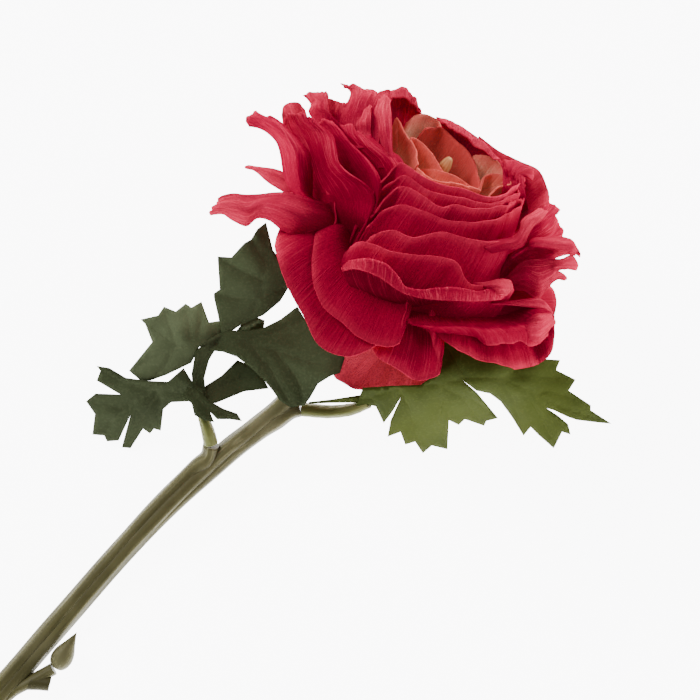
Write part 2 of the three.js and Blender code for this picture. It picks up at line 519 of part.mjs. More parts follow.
const bodies = {
  stem: [stem(), finish(0x6d6a48, 0.4)],
  petals_red: [redPetals(), finish(0xb3122b, 0.8)],
  petals_heart: [heartPetals(), finish(0xc08a4a, 0.8)],
  pistil: [turnedPiece([[0, 11 + GAP], [1.1, 11 + GAP], [0.9, 31], [1.7, 34], [1.5, 36.5], [0.7, 38], [0, 38.2]], 10),
    finish(0xa89a50, 0.6)],
  calyx: [sepals(), finish(0x4f5a34, 0.7)],
  bud: [bud(), finish(0x6d6a48, 0.4)],
  stalk_right: [stalkRight(), finish(0xa3a566, 0.5)],
  stalk_left: [stalkLeft(), finish(0xa3a566, 0.5)],
  leaf_right: [leaf(RIGHT_LEAFLETS), finish(0x5b7a1e, 0.8)],
  leaf_left: [leaf(LEFT_LEAFLETS), finish(0x3c4a38, 0.85)],
};

// the origin lies under the middle of the whole part, on the table
const box = new THREE.Box3();
for (const [body] of Object.values(bodies)) {
  const { min, max } = body.boundingBox();
  box.expandByPoint(new THREE.Vector3(...min)).expandByPoint(new THREE.Vector3(...max));
}
const middle = box.getCenter(new THREE.Vector3());

const part = new THREE.Group();
for (const [name, [body, material]] of Object.entries(bodies)) {
  const { vertProperties, triVerts } = body.getMesh();
  const geometry = new THREE.BufferGeometry();
  geometry.setAttribute('position', new THREE.BufferAttribute(vertProperties, 3));
  geometry.setIndex(new THREE.BufferAttribute(triVerts, 1));
  const mesh = new THREE.Mesh(geometry, material);
  mesh.name = name;
  mesh.position.set(-middle.x, -middle.y, -box.min.z);
  part.add(mesh);
}

export default part;
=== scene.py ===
# %% [markdown]
# # A Persian buttercup in silk and moulded plastic
# The flower lies on a table.  Its petals and leaves are cut from woven cloth and set with
# heat, and its stem, stalks and heart knob are moulded plastic.  The solid model that
# carries it is loaded first, and each finer piece built below stands where one of its
# solids stands.  The pieces could be pulled into shape by hand in a modelling view, but
# they are worked out with formulas here, so that every size can be read and changed.

# %% Load the solid model
import math
import bpy
import numpy as np
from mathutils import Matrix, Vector
from mathutils.geometry import delaunay_2d_cdt


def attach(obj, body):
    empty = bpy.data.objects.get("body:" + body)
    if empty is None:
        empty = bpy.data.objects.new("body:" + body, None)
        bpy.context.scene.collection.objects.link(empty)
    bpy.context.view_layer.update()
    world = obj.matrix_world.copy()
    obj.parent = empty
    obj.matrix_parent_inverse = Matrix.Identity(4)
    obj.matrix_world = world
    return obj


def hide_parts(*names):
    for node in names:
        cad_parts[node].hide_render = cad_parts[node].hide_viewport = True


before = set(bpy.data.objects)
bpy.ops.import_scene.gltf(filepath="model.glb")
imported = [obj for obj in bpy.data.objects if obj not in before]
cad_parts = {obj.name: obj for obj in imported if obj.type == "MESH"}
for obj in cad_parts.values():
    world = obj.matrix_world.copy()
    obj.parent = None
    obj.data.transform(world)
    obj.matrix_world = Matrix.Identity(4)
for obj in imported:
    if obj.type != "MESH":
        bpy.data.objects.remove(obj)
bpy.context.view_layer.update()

# %% [markdown]
# ## The plan
# Outlines are drawn on a plan that is seen from above, like a cutting layout.  They could be
# given in metres, but one step of the plan is a 385th of the bloom's diameter, which keeps
# the numbers short and lets the whole flower grow with one size.  `plan` turns plan steps
# and a height in millimetres into metres in the model's own frame.

# %% Sizes and the plan
BLOOM_DIAMETER = 90.0
STEP = BLOOM_DIAMETER / 385
PLAN_CENTRE = np.array([350.0, 350.0])
PART_MIDDLE = np.array([-26.316, -27.763, 0.080])   # the part's middle on the plan, mm
MM = 0.001
rng = np.random.default_rng(11)


def plan(x, y, z):
    """Plan steps to metres: x runs right, y runs down the table, z is height in mm."""
    x, y, z = np.broadcast_arrays(x, y, z)
    mm = np.stack([(x - PLAN_CENTRE[0]) * STEP, (PLAN_CENTRE[1] - y) * STEP, z], -1)
    return (mm - PART_MIDDLE) * MM


print("one plan step is", round(STEP, 4), "mm")

# %% [markdown]
# ## The bloom's own axes
# The bloom faces up and away, and every petal is fixed at the calyx.  A bloom could be built
# upright and tilted at the end, but a finished piece stays unturned, so the tilt is in the
# formulas: a point has a radius and a height along the bloom's axis, and a turn about it
# that is 0 at the upper side.

# %% Axes of the bloom
TILT, HEADING = math.radians(24), math.radians(56.6)
AXIS = np.array([math.cos(HEADING) * math.cos(TILT), math.sin(HEADING) * math.cos(TILT), math.sin(TILT)])
SIDE = np.array([math.sin(HEADING), -math.cos(HEADING), 0.0])
UP = np.cross(SIDE, AXIS)
CALYX_HEIGHT = 31.0    # above the table, mm
CALYX = plan(368, 283, CALYX_HEIGHT)


def on_ball(x, y, r):
    """The point above plan (x, y) that lies r millimetres from the calyx."""
    low = plan(x, y, CALYX_HEIGHT)
    rise = max((r * MM) ** 2 - ((low - CALYX) ** 2).sum(), 0.0)
    return low + [0, 0, math.sqrt(rise)]


def in_bloom(r, turn, h):
    """calyx + r (cos turn up + sin turn side) + h axis, with r and h in mm, or arrays of them."""
    r, turn, h = [np.asarray(v, float)[..., None] for v in np.broadcast_arrays(r, turn, h)]
    return CALYX + MM * (r * (np.cos(turn) * UP + np.sin(turn) * SIDE) + h * AXIS)


print("the bloom's axis is", AXIS.round(3))

# %% [markdown]
# ## From a grid of points to a piece of cloth
# Thin cloth has two faces and a cut edge.  A Solidify modifier could give them, but the
# shading values of the cloth have to reach both faces, so `cloth` does the same by hand: it
# takes a grid of points, pushes a copy to each side along the surface's normals and closes
# the edge with a wall.  The wall's faces stay flat-shaded, so the smooth shading of the two
# faces doesn't bleed round the edge.

# %% Cloth from grids
def normals_of(grid):
    """Unit normals of a grid: the cross product of its two central differences."""
    across, along = np.gradient(grid, axis=1), np.gradient(grid, axis=0)
    n = np.cross(across, along)
    return n / (np.linalg.norm(n, axis=-1, keepdims=True) + 1e-12)


def cloth(grid, thickness):
    """Points and faces of a closed sheet: the grid moved half the thickness each way."""
    nv, nu = grid.shape[:2]
    n = normals_of(grid) * thickness * MM / 2
    points = np.concatenate([(grid + n).reshape(-1, 3), (grid - n).reshape(-1, 3)])
    j, i = np.mgrid[0:nv - 1, 0:nu - 1]
    a = (j * nu + i).ravel()
    top = np.stack([a, a + 1, a + nu + 1, a + nu], 1)
    rim = np.concatenate([np.arange(nu - 1), np.arange(nv - 1) * nu + nu - 1,
                          (nv - 1) * nu + np.arange(nu - 1, 0, -1), np.arange(nv - 1, 0, -1) * nu])
    far = np.roll(rim, -1)
    wall = np.stack([rim, rim + nu * nv, far + nu * nv, far], 1)
    return points, np.concatenate([top, top[:, ::-1] + nu * nv]), wall


print("a cloth has two faces and a wall")

# %% Pieces
class Pieces:
    """Gathers sheets, with the values at their points, and makes them one mesh object."""

    def __init__(self):
        self.points, self.smooth, self.flat, self.values = [], [], [], {}
        self.count = 0

    def add(self, points, smooth, flat, **values):
        self.points.append(points)
        self.smooth += [f + self.count for f in (smooth if isinstance(smooth, list) else [smooth])]
        self.flat.append(flat + self.count)
        for name, v in values.items():
            self.values.setdefault(name, []).append(np.broadcast_to(v, len(points)))
        self.count += len(points)

    def make(self, name, material, node):
        points = np.concatenate(self.points)
        blocks = self.smooth + self.flat
        sizes = np.concatenate([np.full(len(f), f.shape[1]) for f in blocks])
        corners = np.concatenate([f.ravel() for f in blocks])
        smooth = sum(len(f) for f in self.smooth)
        mesh = bpy.data.meshes.new(name)
        mesh.vertices.add(len(points))
        mesh.vertices.foreach_set("co", points.ravel())
        mesh.loops.add(len(corners))
        mesh.loops.foreach_set("vertex_index", corners.astype(np.int32))
        mesh.polygons.add(len(sizes))
        mesh.polygons.foreach_set("loop_start", (np.cumsum(sizes) - sizes).astype(np.int32))
        mesh.update(calc_edges=True)
        mesh.polygons.foreach_set("use_smooth", np.arange(len(sizes)) < smooth)
        for key, parts in self.values.items():
            mesh.attributes.new(key, "FLOAT", "POINT").data.foreach_set("value", np.concatenate(parts))
        mesh.validate()
        piece = bpy.data.objects.new(name, mesh)
        bpy.context.scene.collection.objects.link(piece)
        mesh.materials.append(material)
        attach(piece, "root")
        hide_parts(node)
        print(name, "has", int((sizes - 2).sum()), "triangles")


def one_piece(name, made, material, node, slot, **values):
    """One mesh object from a sweep or a lathe: points, skin, caps and their values."""
    points, skin, caps, own = made
    pieces = Pieces()
    pieces.add(points, skin, caps, **(values or own))
    pieces.make(name, material, node)


print("pieces are ready")

# %% [markdown]
# ## Shader sums
# Every finish on the flower comes from noise and from values that its cloth carries.  The
# nodes could be placed and linked one by one, but a material is easier to read as a formula
# than as a web of nodes.  `Value` wraps a shader socket, so that sums on it add Math nodes,
# and `Finish` makes a material and any other node.

# %% Shader values
class Value:
    """A number socket that takes part in Python sums."""

    def __init__(self, finish, socket):
        self.finish, self.socket = finish, socket

    def math(self, operation, first, second):
        node = self.finish.node("ShaderNodeMath", {"operation": operation}, {0: first, 1: second})
        return Value(self.finish, node.outputs[0])

    def __add__(self, other): return self.math("ADD", self, other)
    def __radd__(self, other): return self.math("ADD", other, self)
    def __sub__(self, other): return self.math("SUBTRACT", self, other)
    def __rsub__(self, other): return self.math("SUBTRACT", other, self)
    def __mul__(self, other): return self.math("MULTIPLY", self, other)
    def __rmul__(self, other): return self.math("MULTIPLY", other, self)

    def step(self, low, high, start=0.0, end=1.0):
        """A soft step: start below low, end above high."""
        node = self.finish.node("ShaderNodeMapRange", {"interpolation_type": "SMOOTHSTEP"},
                                {"Value": self, "From Min": low, "From Max": high,
                                 "To Min": start, "To Max": end})
        return Value(self.finish, node.outputs[0])


print("shader values are ready")

# %% Finishes
class Finish:
    """A material whose Principled BSDF takes constants and worked-out values."""

    def __init__(self, name, **constants):
        self.material = bpy.data.materials.new(name)
        self.material.use_nodes = True
        self.tree = self.material.node_tree
        self.shader = self.tree.nodes["Principled BSDF"]
        for key, value in constants.items():
            self.shader.inputs[key.replace("_", " ")].default_value = value

    def node(self, kind, settings, inputs):
        node = self.tree.nodes.new(kind)
        for key, value in settings.items():
            setattr(node, key, value)
        for key, value in inputs.items():
            self.give(node.inputs[key], value)
        return node

    def give(self, socket, value):
        if isinstance(value, Value):
            value = value.socket
        if isinstance(value, bpy.types.NodeSocket):
            self.tree.links.new(value, socket)
        else:
            socket.default_value = value

    def attribute(self, name):
        node = self.node("ShaderNodeAttribute", {"attribute_name": name}, {})
        return Value(self, node.outputs["Fac"])

    def place(self):
        return self.node("ShaderNodeTexCoord", {}, {}).outputs["Object"]

    def vector(self, x, y, z=0.0):
        return self.node("ShaderNodeCombineXYZ", {}, {0: x, 1: y, 2: z}).outputs[0]

    def noise(self, vector, scale, detail=2.0, roughness=0.5):
        node = self.node("ShaderNodeTexNoise", {}, {"Vector": vector, "Scale": scale, "Detail": detail,
                                                    "Roughness": roughness})
        return Value(self, node.outputs[0])

    def mix(self, factor, first, second):
        """From the first colour at factor 0 to the second at 1."""
        node = self.node("ShaderNodeMix", {"data_type": "RGBA"}, {0: factor, 6: first, 7: second})
        return node.outputs[2]

    def bump(self, height, strength, distance, normal=None):
        inputs = {"Height": height, "Strength": strength, "Distance": distance}
        if normal is not None:
            inputs["Normal"] = normal
        return self.node("ShaderNodeBump", {}, inputs).outputs[0]

    def paint(self, **sockets):
        for key, value in sockets.items():
            self.give(self.shader.inputs[key.replace("_", " ")], value)
        return self.material


print("finishes are ready")

# %% [markdown]
# ## Silk for the petals
# The petals are thin woven silk, dyed crimson and pressed hot, which leaves fine creases
# that fan from the root.  The ridges of the creases and the band near the rim are painted
# pinker as highlights, painted shade darkens the part near the root, and the cut rim itself
# is pale.  A flat pattern could be wrapped on each petal, but it would stretch where a petal
# curls, so the petal's own grid carries the pattern: `across` counts millimetres round the
# petal and `along` runs from 0 at the root to 1 at the rim.  `crease` says how strongly the
# crease ridges are painted as highlights.  `tone` above 0 paints a petal paler and pinker,
# partly real fading and partly painted light, and below 0 it paints shade on it.  A faint
# emission of the same colour is a painted glow that stands for the light that passes
# through thin cloth.

# %% Silk
PAINTED_GLOW = 0.14   # strength of the painted glow that stands for light coming through the cloth
WEAVE = 2600.0         # scale of the noise that stands for the threads
FOLD_DEPTH, THREAD_DEPTH = 0.0013, 0.00012    # of the bumps, metres


def silk(name, shade, deep, dye, pale, blush_glow, rim_colour, rim_from=0.93, rim_share=0.4):
    """Painted shade at the root, pale painted highlights on ridges and near the rim with pale clouds, a
    pink painted glow and flecks where the tone is high, painted shade below 0, a pale rim.
    """
    f = Finish(name, Specular_IOR_Level=0.0, Emission_Strength=PAINTED_GLOW)
    across, along = f.attribute("across"), f.attribute("along")
    tone = f.attribute("tone")
    wander = f.noise(f.vector(across * 0.12, along * 3.0, across * 0.01), 1.0, 2.0)
    creases = f.noise(f.vector(across * 3.1 + wander * 2.8, along * 2.8, wander), 0.9, 3.0, 0.62)
    fine = f.noise(f.vector(across * 3.2 + wander * 3.0, along * 5.0, wander), 1.0, 2.0, 0.6)
    patch = f.noise(f.vector(across * 0.09, along * 2.2, across * 0.02), 1.0, 3.0)
    weave = f.noise(f.place(), WEAVE, 1.0)
    streaks = f.attribute("crease")
    ridge = creases.step(0.53, 0.61) * along.step(0.12, 0.6)
    cloud = patch.step(0.42, 0.74)
    # the tone above 0, which gives both real fading and painted light
    lit_and_faded = tone.math("MAXIMUM", tone, 0.0)
    # painted highlights on crease ridges and fine creases, the cloth's own pale clouds, and a painted
    # highlight near the rim
    light = ridge * (0.04 + streaks * 0.9) + fine.step(0.55, 0.76) * (0.04 + streaks * 0.45)
    light = light + cloud * (0.04 + lit_and_faded * 0.25) + along.step(0.78, 1.0) * 0.14
    # a pink painted glow that grows with the tone and along the highlighted ridges
    glow = lit_and_faded * lit_and_faded * (0.10 + along.step(0.25, 1.0) * 0.45 + cloud * 0.2) + ridge * streaks * 0.4
    # painted shade: darker towards the root, deep in the bloom
    colour = f.mix(along.step(0.15, 0.95), deep, dye)
    colour = f.mix(light, colour, pale)
    colour = f.mix(glow, colour, blush_glow)
    # a tone below 0 paints shade on the petal
    colour = f.mix(tone.step(-1.0, 0.0, 0.75, 0.0), colour, shade)
    colour = f.mix(weave.step(0.40, 0.68) * 0.32, colour, deep)
    flecks = f.noise(f.place(), 1900.0, 2.0).step(0.56, 0.72)
    colour = f.mix(flecks * (0.08 + lit_and_faded * 0.12), colour, blush_glow)
    edge = (along + creases * 0.05).step(rim_from + 0.03, 1.04)
    colour = f.mix(edge * rim_share, colour, rim_colour)
    folds = f.bump(creases * 0.6 + fine * 0.25, 0.8, FOLD_DEPTH)
    normal = f.bump(weave, 0.2, THREAD_DEPTH, folds)
    # the emission is a painted glow of the petal's own colour
    return f.paint(Base_Color=colour, Emission_Color=colour, Roughness=0.76 - light * 0.12, Normal=normal)


RED_SILK = silk("crimson silk",
                shade=(0.12, 0.0004, 0.008, 1), deep=(0.19, 0.0006, 0.017, 1), dye=(0.30, 0.002, 0.027, 1),
                pale=(0.46, 0.014, 0.052, 1), blush_glow=(0.62, 0.045, 0.080, 1),
                rim_colour=(0.56, 0.024, 0.062, 1))
HEART_SILK = silk("ochre silk",
                  shade=(0.28, 0.018, 0.026, 1), deep=(0.25, 0.040, 0.030, 1), dye=(0.43, 0.150, 0.075, 1),
                  pale=(0.62, 0.340, 0.190, 1), blush_glow=(0.80, 0.540, 0.340, 1),
                  rim_colour=(0.55, 0.055, 0.055, 1), rim_from=0.66, rim_share=0.85)
print("silk finishes:", RED_SILK.name, HEART_SILK.name)

# %% [markdown]
# ## Curves through points
# The rim of a petal and the middle of a stem are smooth lines through a few marks.  They
# could be curve objects, but a Catmull-Rom curve is one short formula that passes through
# every mark, and numpy works it out for whole rows at once.

# %% Curves
BETWEEN = 40           # fine points from one mark to the next


def catmull_rom(a, b, c, d, k):
    """From b at k = 0 to c at k = 1, on the cubic that leaves b along c - a and meets c along d - b."""
    return 0.5 * (2 * b + (c - a) * k + (2 * a - 5 * b + 4 * c - d) * k ** 2
                  + (3 * b - a - 3 * c + d) * k ** 3)


def with_ends(q):
    """The marks with one more at each end, in line with the last two."""
    return np.concatenate([2 * q[:1] - q[1:2], q, 2 * q[-1:] - q[-2:-1]])


def through(points, n):
    """n points of equal spacing on the Catmull-Rom curve through the marks, and its length."""
    q = with_ends(np.asarray(points, float))
    k = np.linspace(0, 1, BETWEEN, endpoint=False)[None, :, None]
    curve = catmull_rom(*[q[i:len(q) - 3 + i, None] for i in range(4)], k)
    curve = np.concatenate([curve.reshape(-1, 3), q[-2:-1]])
    run = np.concatenate([[0], np.cumsum(np.linalg.norm(np.diff(curve, axis=0), axis=1))])
    s = np.linspace(0, run[-1], n)
    return np.stack([np.interp(s, run, curve[:, i]) for i in range(3)], 1), run[-1]


print("a curve has", BETWEEN, "points between two marks")

# %% [markdown]
# ## The shape of a petal
# A real petal is a flat blank that a hot iron has cupped, so it keeps its shape by itself.
# Cloth simulation could drape one, but it would sag where the silk is stiff.  A petal is
# drawn by its rim instead: a smooth curve through a few marks.  Every rib of the petal is a
# cubic curve from the root to the rim.  It leaves the root at the angle `lean` from the
# bloom's axis and reaches the rim `flare` degrees further out than the rim point itself, so
# a big lean cups the petal and a big flare bends it back.  Ruffles, rolled edges and fine
# folds are then added along the surface's normals.

# %% Waves, rolled edges and folds
THREAD = 0.34          # thickness of the silk, mm
ROLL_FROM = 0.74       # the edge rolls over from here to the rim


def finished(grid, length, ruffle=0.3, waves=3.0, phase=0.0, roll=0.0, crumple=0.16, outward=1.0):
    """Moves the grid along its normals, where u runs across from -1 to 1 and t from root to rim.

    The lift is ruffle t^2.2 times two sines of u, plus roll times the square of how far t is
    past ROLL_FROM, plus crumple times sines of the millimetres across that wander with t.
    """
    nv, nu = grid.shape[:2]
    n = normals_of(grid)
    u, t = np.linspace(-1, 1, nu)[None, :], np.linspace(0, 1, nv)[:, None]
    wave = np.sin(waves * np.pi * u + phase) * (0.45 + 0.55 * np.abs(u))
    wave = wave + 0.3 * t ** 3 * np.sin(2.6 * waves * np.pi * u + 2.1 * phase)
    lift = ruffle * t ** 2.2 * wave
    edge = np.clip((t - ROLL_FROM) / (1 - ROLL_FROM), 0, 1) ** 2
    lift = lift + outward * roll * edge * (1 + 0.35 * np.sin(4.3 * u + phase))
    across = u * length / 2
    wander = 0.9 * np.sin(5 * t + phase) + 0.5 * np.sin(11 * t + 2 * phase)
    folds = np.sin(1.35 * across + wander + phase) * 0.55 + np.sin(2.9 * across - 2 * wander) * 0.45
    lift = lift + crumple * t * (0.4 + 0.6 * t) * folds * (0.6 + 0.4 * np.sin(0.5 * across + phase))
    return grid + n * lift[..., None] * MM


print("petals are", THREAD, "mm thick")

# %% Petals drawn by their rim
PETAL_ROOT = (3.6, 1.0)    # radius and height of the circle that a petal starts on, mm
NARROW = 0.5           # a rim that turns less than this, in radians, is centred on its middle point


def petal_grid(rim, lean=80, flare=0, out=0.40, back=0.30, ruffle=0.8, waves=3.0, phase=0.0, roll=0.0,
               root=PETAL_ROOT, spread=50, nu=49, nv=33, crumple=0.16):
    """Each rib is the cubic from its root point to its rim point q.

    Its two inner points lie `out` of the reach along the lean direction from the root, and
    `back` of the reach behind the rim along the flared one.
    """
    q, length = through(rim, nu)
    d = (q - CALYX) / MM
    a, b, h = d @ UP, d @ SIDE, d @ AXIS
    turn = np.unwrap(np.arctan2(b, a))
    polar = np.arctan2(np.hypot(a, b), h) + math.radians(flare)
    middle = turn[nu // 2] if abs(turn[-1] - turn[0]) < NARROW else turn.mean()
    u = np.linspace(-1, 1, nu)
    fan = np.sign(turn[-1] - turn[0]) * u * math.radians(spread) / 2
    start = in_bloom(root[0], middle + fan, root[1])
    away = np.cos(turn)[:, None] * UP + np.sin(turn)[:, None] * SIDE
    reach = np.linalg.norm(q - start, axis=1)[:, None]
    first = math.sin(math.radians(lean)) * away + math.cos(math.radians(lean)) * AXIS
    last = np.sin(polar)[:, None] * away + np.cos(polar)[:, None] * AXIS
    t = np.linspace(0, 1, nv)[:, None, None]
    grid = ((1 - t) ** 3 * start + 3 * (1 - t) ** 2 * t * (start + out * reach * first)
            + 3 * (1 - t) * t ** 2 * (q - back * reach * last) + t ** 3 * q)
    outward = np.sign((normals_of(grid) * (grid - CALYX - 0.018 * AXIS)).sum()) or 1.0
    return finished(grid, length / MM, ruffle, waves, phase, roll, crumple, outward), length / MM


print("a drawn petal starts", PETAL_ROOT[0], "mm from the bloom's axis")

# %% Draped petals and sheets
TABLE_BEND = 1.5       # how softly a petal meets the table, mm


def draped_grid(rows, nu=45, nv=41, **finish):
    """Catmull-Rom curves across each row, then along from the root row to the rim row."""
    across = np.stack([through(row, nu)[0] for row in rows])
    length = max(through(row, nu)[1] for row in rows) / MM
    k = np.linspace(0, len(rows) - 1, nv)
    q = with_ends(across)
    i = np.minimum(k.astype(int), len(rows) - 2)
    grid = catmull_rom(q[i], q[i + 1], q[i + 2], q[i + 3], (k - i)[:, None, None])
    return finished(grid, length, **finish), length


def on_table(grid, thickness):
    """Heights under the table become 0, and (z + b)^2 / 4b joins them to those above b."""
    low = grid[..., 2] / MM - thickness / 2
    soft = np.clip(low + TABLE_BEND, 0, None) ** 2 / (4 * TABLE_BEND)
    grid[..., 2] = MM * (thickness / 2 + np.where(low < TABLE_BEND, soft, low))
    return grid


def add_sheet(pieces, grid, length, tone, crease, thickness=THREAD):
    """Makes a cloth of a petal's grid and writes the values that its silk reads."""
    grid = on_table(grid, thickness)
    nv, nu = grid.shape[:2]
    points, smooth, wall = cloth(grid, thickness)
    across = np.tile(np.linspace(-length / 2, length / 2, nu), (nv, 1)).ravel()
    along = np.repeat(np.linspace(0, 1, nv), nu)
    pieces.add(points, smooth, wall, across=np.tile(across, 2) + rng.uniform(0, 90),
               along=np.tile(along, 2), tone=tone, crease=crease)


def add_petal(pieces, rim, tone=0.2, crease=0.12, **shape):
    add_sheet(pieces, *petal_grid(rim, **shape), tone, crease)


def add_draped(pieces, rows, mark, tone=0.5, crease=0.5, **shape):
    """`mark` turns a row's (x, y, height) into a point: plan for level heights, on_ball for radii."""
    add_sheet(pieces, *draped_grid([[mark(*p) for p in row] for row in rows], **shape), tone, crease)


print("petals meet the table over", TABLE_BEND, "mm")

# %% [markdown]
# ## The skirt
# The outermost petals hang down on the near side and rest on the table.  They could be
# copies of one petal, but no two real ones are alike, so every petal whose rim can be told
# apart is drawn one by one.  Its rim is a row of marks on the plan, each with its distance from
# the calyx, or with None and its own height where the petal stands away from the ball.

# %% The skirt
def rim_points(points):
    """Rim marks (x, y, r) on the ball or (x, y, None, z) at height z, to metres."""
    return [on_ball(*p) if len(p) == 3 else plan(p[0], p[1], p[3]) for p in points]


def petal_piece(name, petals, material=RED_SILK, node="petals_red"):
    pieces = Pieces()
    for rim, shape in petals:
        add_petal(pieces, rim, **shape)
    pieces.make(name, material, node)


def drawn(petals):
    return [(rim_points(rim), shape) for rim, shape in petals]


# a tone below 0 is painted shade on a petal, and the high tone of the pale one is painted light
SKIRT = [
    # the left one, which bends back round the bloom's left side
    ([(306, 236, None, 61), (280, 230, None, 58), (276, 243, None, 61), (279, 262, 43), (287, 285, 43),
      (305, 318, 43), (320, 346, 43), (347, 357, 43), (370, 349, 43), (398, 330, 42)],
     dict(lean=60, flare=62, out=0.45, back=0.45, waves=2.2, phase=1, tone=-0.25, crease=0.3)),
    # the dark one between it and the cup
    ([(328, 216, 24), (316, 236, 36), (312, 275, 41), (322, 305, 43), (342, 322, 44), (360, 338, 44),
      (387, 347, 44), (403, 341, 44), (402, 322, 42), (410, 294, 38)],
     dict(lean=56, flare=60, out=0.45, back=0.45, waves=2, tone=-0.3)),
    # the lowest one in the middle
    ([(366, 338, 38), (377, 356, 42), (395, 368, 43), (417, 380, 44), (440, 372, 45), (436, 355, 43),
      (425, 330, 40)],
     dict(lean=62, flare=60, out=0.42, back=0.42, waves=2.5, phase=1, tone=0.1, crease=0.5)),
    # the pale one under it, which reaches the table
    ([(338, 348, None, 24), (333, 375, None, 20.5), (350, 387, None, 19), (372, 390, None, 18),
      (405, 390, None, 18), (426, 383, None, 19), (438, 362, None, 23)],
     dict(lean=100, flare=30, tone=2.6)),
    # the long dark one at the lower right
    ([(425, 330, 38), (447, 345, 42), (462, 352, 43), (482, 360, 43), (500, 365, 43), (516, 369, 43),
      (536, 365, 43), (550, 356, 42), (557, 342, 41), (555, 322, 38)],
     dict(lean=62, flare=55, out=0.45, back=0.42, tone=-0.7)),
]
petal_piece("skirt_petals", drawn(SKIRT))

# %% [markdown]
# ## The climbing layers
# From the skirt up to the cup, round petals overlap like tiles, and only a band of each one
# shows.  One bowl with steps in it would give the bands, but not the gaps under the rims, so
# each layer is a whole petal whose rim rolls inwards a little.

# %% The climbing layers
LAYERS = [
    # from the lowest to the highest
    ([(350, 256, 38), (360, 243, 42), (374, 245, 43), (390, 251, 44), (410, 255, 44), (447, 258, 45),
      (460, 268, 45), (468, 283, 45.5), (484, 284, 46), (500, 281, 46), (512, 289, 46)],
     dict(lean=88, flare=-60, out=0.5, back=0.45, ruffle=0.5, roll=0.9, tone=0.15)),
    ([(360, 250, 38), (374, 236, 42), (392, 231, 43), (413, 238, 44), (439, 233, 44), (458, 237, 44),
      (480, 241, 45), (505, 240, 45), (522, 224, 43)],
     dict(lean=86, flare=-60, out=0.5, back=0.45, ruffle=0.6, roll=0.6, tone=0.25)),
    ([(366, 232, 38), (380, 214, 42), (400, 206, 43), (422, 212, 44), (448, 222, 44), (476, 222, 44.5),
      (504, 216, 44.5), (522, 200, 43)],
     dict(lean=82, flare=-50, out=0.5, back=0.42, ruffle=0.6, roll=0.3, tone=0.1)),
    ([(366, 210, 38), (376, 190, 42), (388, 174, 43), (398, 164, 44), (410, 169, 44.5), (424, 179, 45),
      (440, 186, 45), (462, 190, 45), (480, 196, 45), (496, 196, 45), (514, 186, 44), (525, 176, 42)],
     dict(lean=80, flare=-36, out=0.5, back=0.42, ruffle=0.4, roll=0.4, tone=0.2)),
    # two more rims that show between the last two
    ([(366, 222, 38), (378, 204, 42), (392, 192, 43.2), (406, 189, 44), (422, 197, 44.5), (438, 207, 44.8),
      (455, 206, 45), (474, 210, 45), (494, 206, 44.6), (508, 204, 44.2), (524, 190, 42)],
     dict(lean=81, flare=-42, out=0.5, back=0.42, ruffle=0.7, waves=4.0, roll=0.4, tone=0.05, crease=0.4)),
    ([(372, 208, 38), (384, 188, 42), (396, 178, 43), (408, 178, 44), (420, 188, 44.6), (430, 193, 44.9),
      (446, 196, 45), (462, 199, 45), (480, 204, 45), (497, 201, 44.6), (512, 194, 44), (524, 182, 42)],
     dict(lean=80, flare=-39, out=0.5, back=0.42, ruffle=0.6, waves=5.0, roll=0.4, tone=-0.2, crease=0.3)),
]
petal_piece("layered_petals", drawn(LAYERS))

# %% [markdown]
# ## Two tall petals
# One petal stands behind the others at the upper left, and one closes the cup on its far
# side.  They could be two more rims on the ball that the rest follow, but they stand away
# from it, so their marks give heights above the table.

# %% Two tall petals
TALL = [
    ([(286, 140, None, 33), (282, 118, None, 32), (283, 106, None, 33), (290, 102, None, 35),
      (300, 103, None, 36), (304, 116, None, 37), (304, 136, None, 38)],
     dict(lean=76, ruffle=0.3, tone=0.7)),
    ([(480, 135, None, 28), (500, 150, None, 29), (520, 160, None, 30), (540, 170, None, 31),
      (548, 190, None, 35), (550, 212, None, 41)],
     dict(lean=62, flare=-5, ruffle=0.5, tone=0.6)),
]
petal_piece("tall_petals", drawn(TALL))

# %% [markdown]
# ## Long petals that turn over
# Some petals at the upper left are long straps or turn over on themselves, which no fan of
# ribs from the root can follow.  A flat strap could be bent with a modifier, but its folded
# edge would need a second one.  They are draped through rows of marks (x, y, z) instead,
# from a hidden row at the root to the row of the rim, and a row that doubles back makes the
# fold.

# %% Long petals that turn over
def draped_piece(name, petals, mark):
    pieces = Pieces()
    for rows, shape in petals:
        add_draped(pieces, rows, mark, **shape)
    pieces.make(name, RED_SILK, "petals_red")
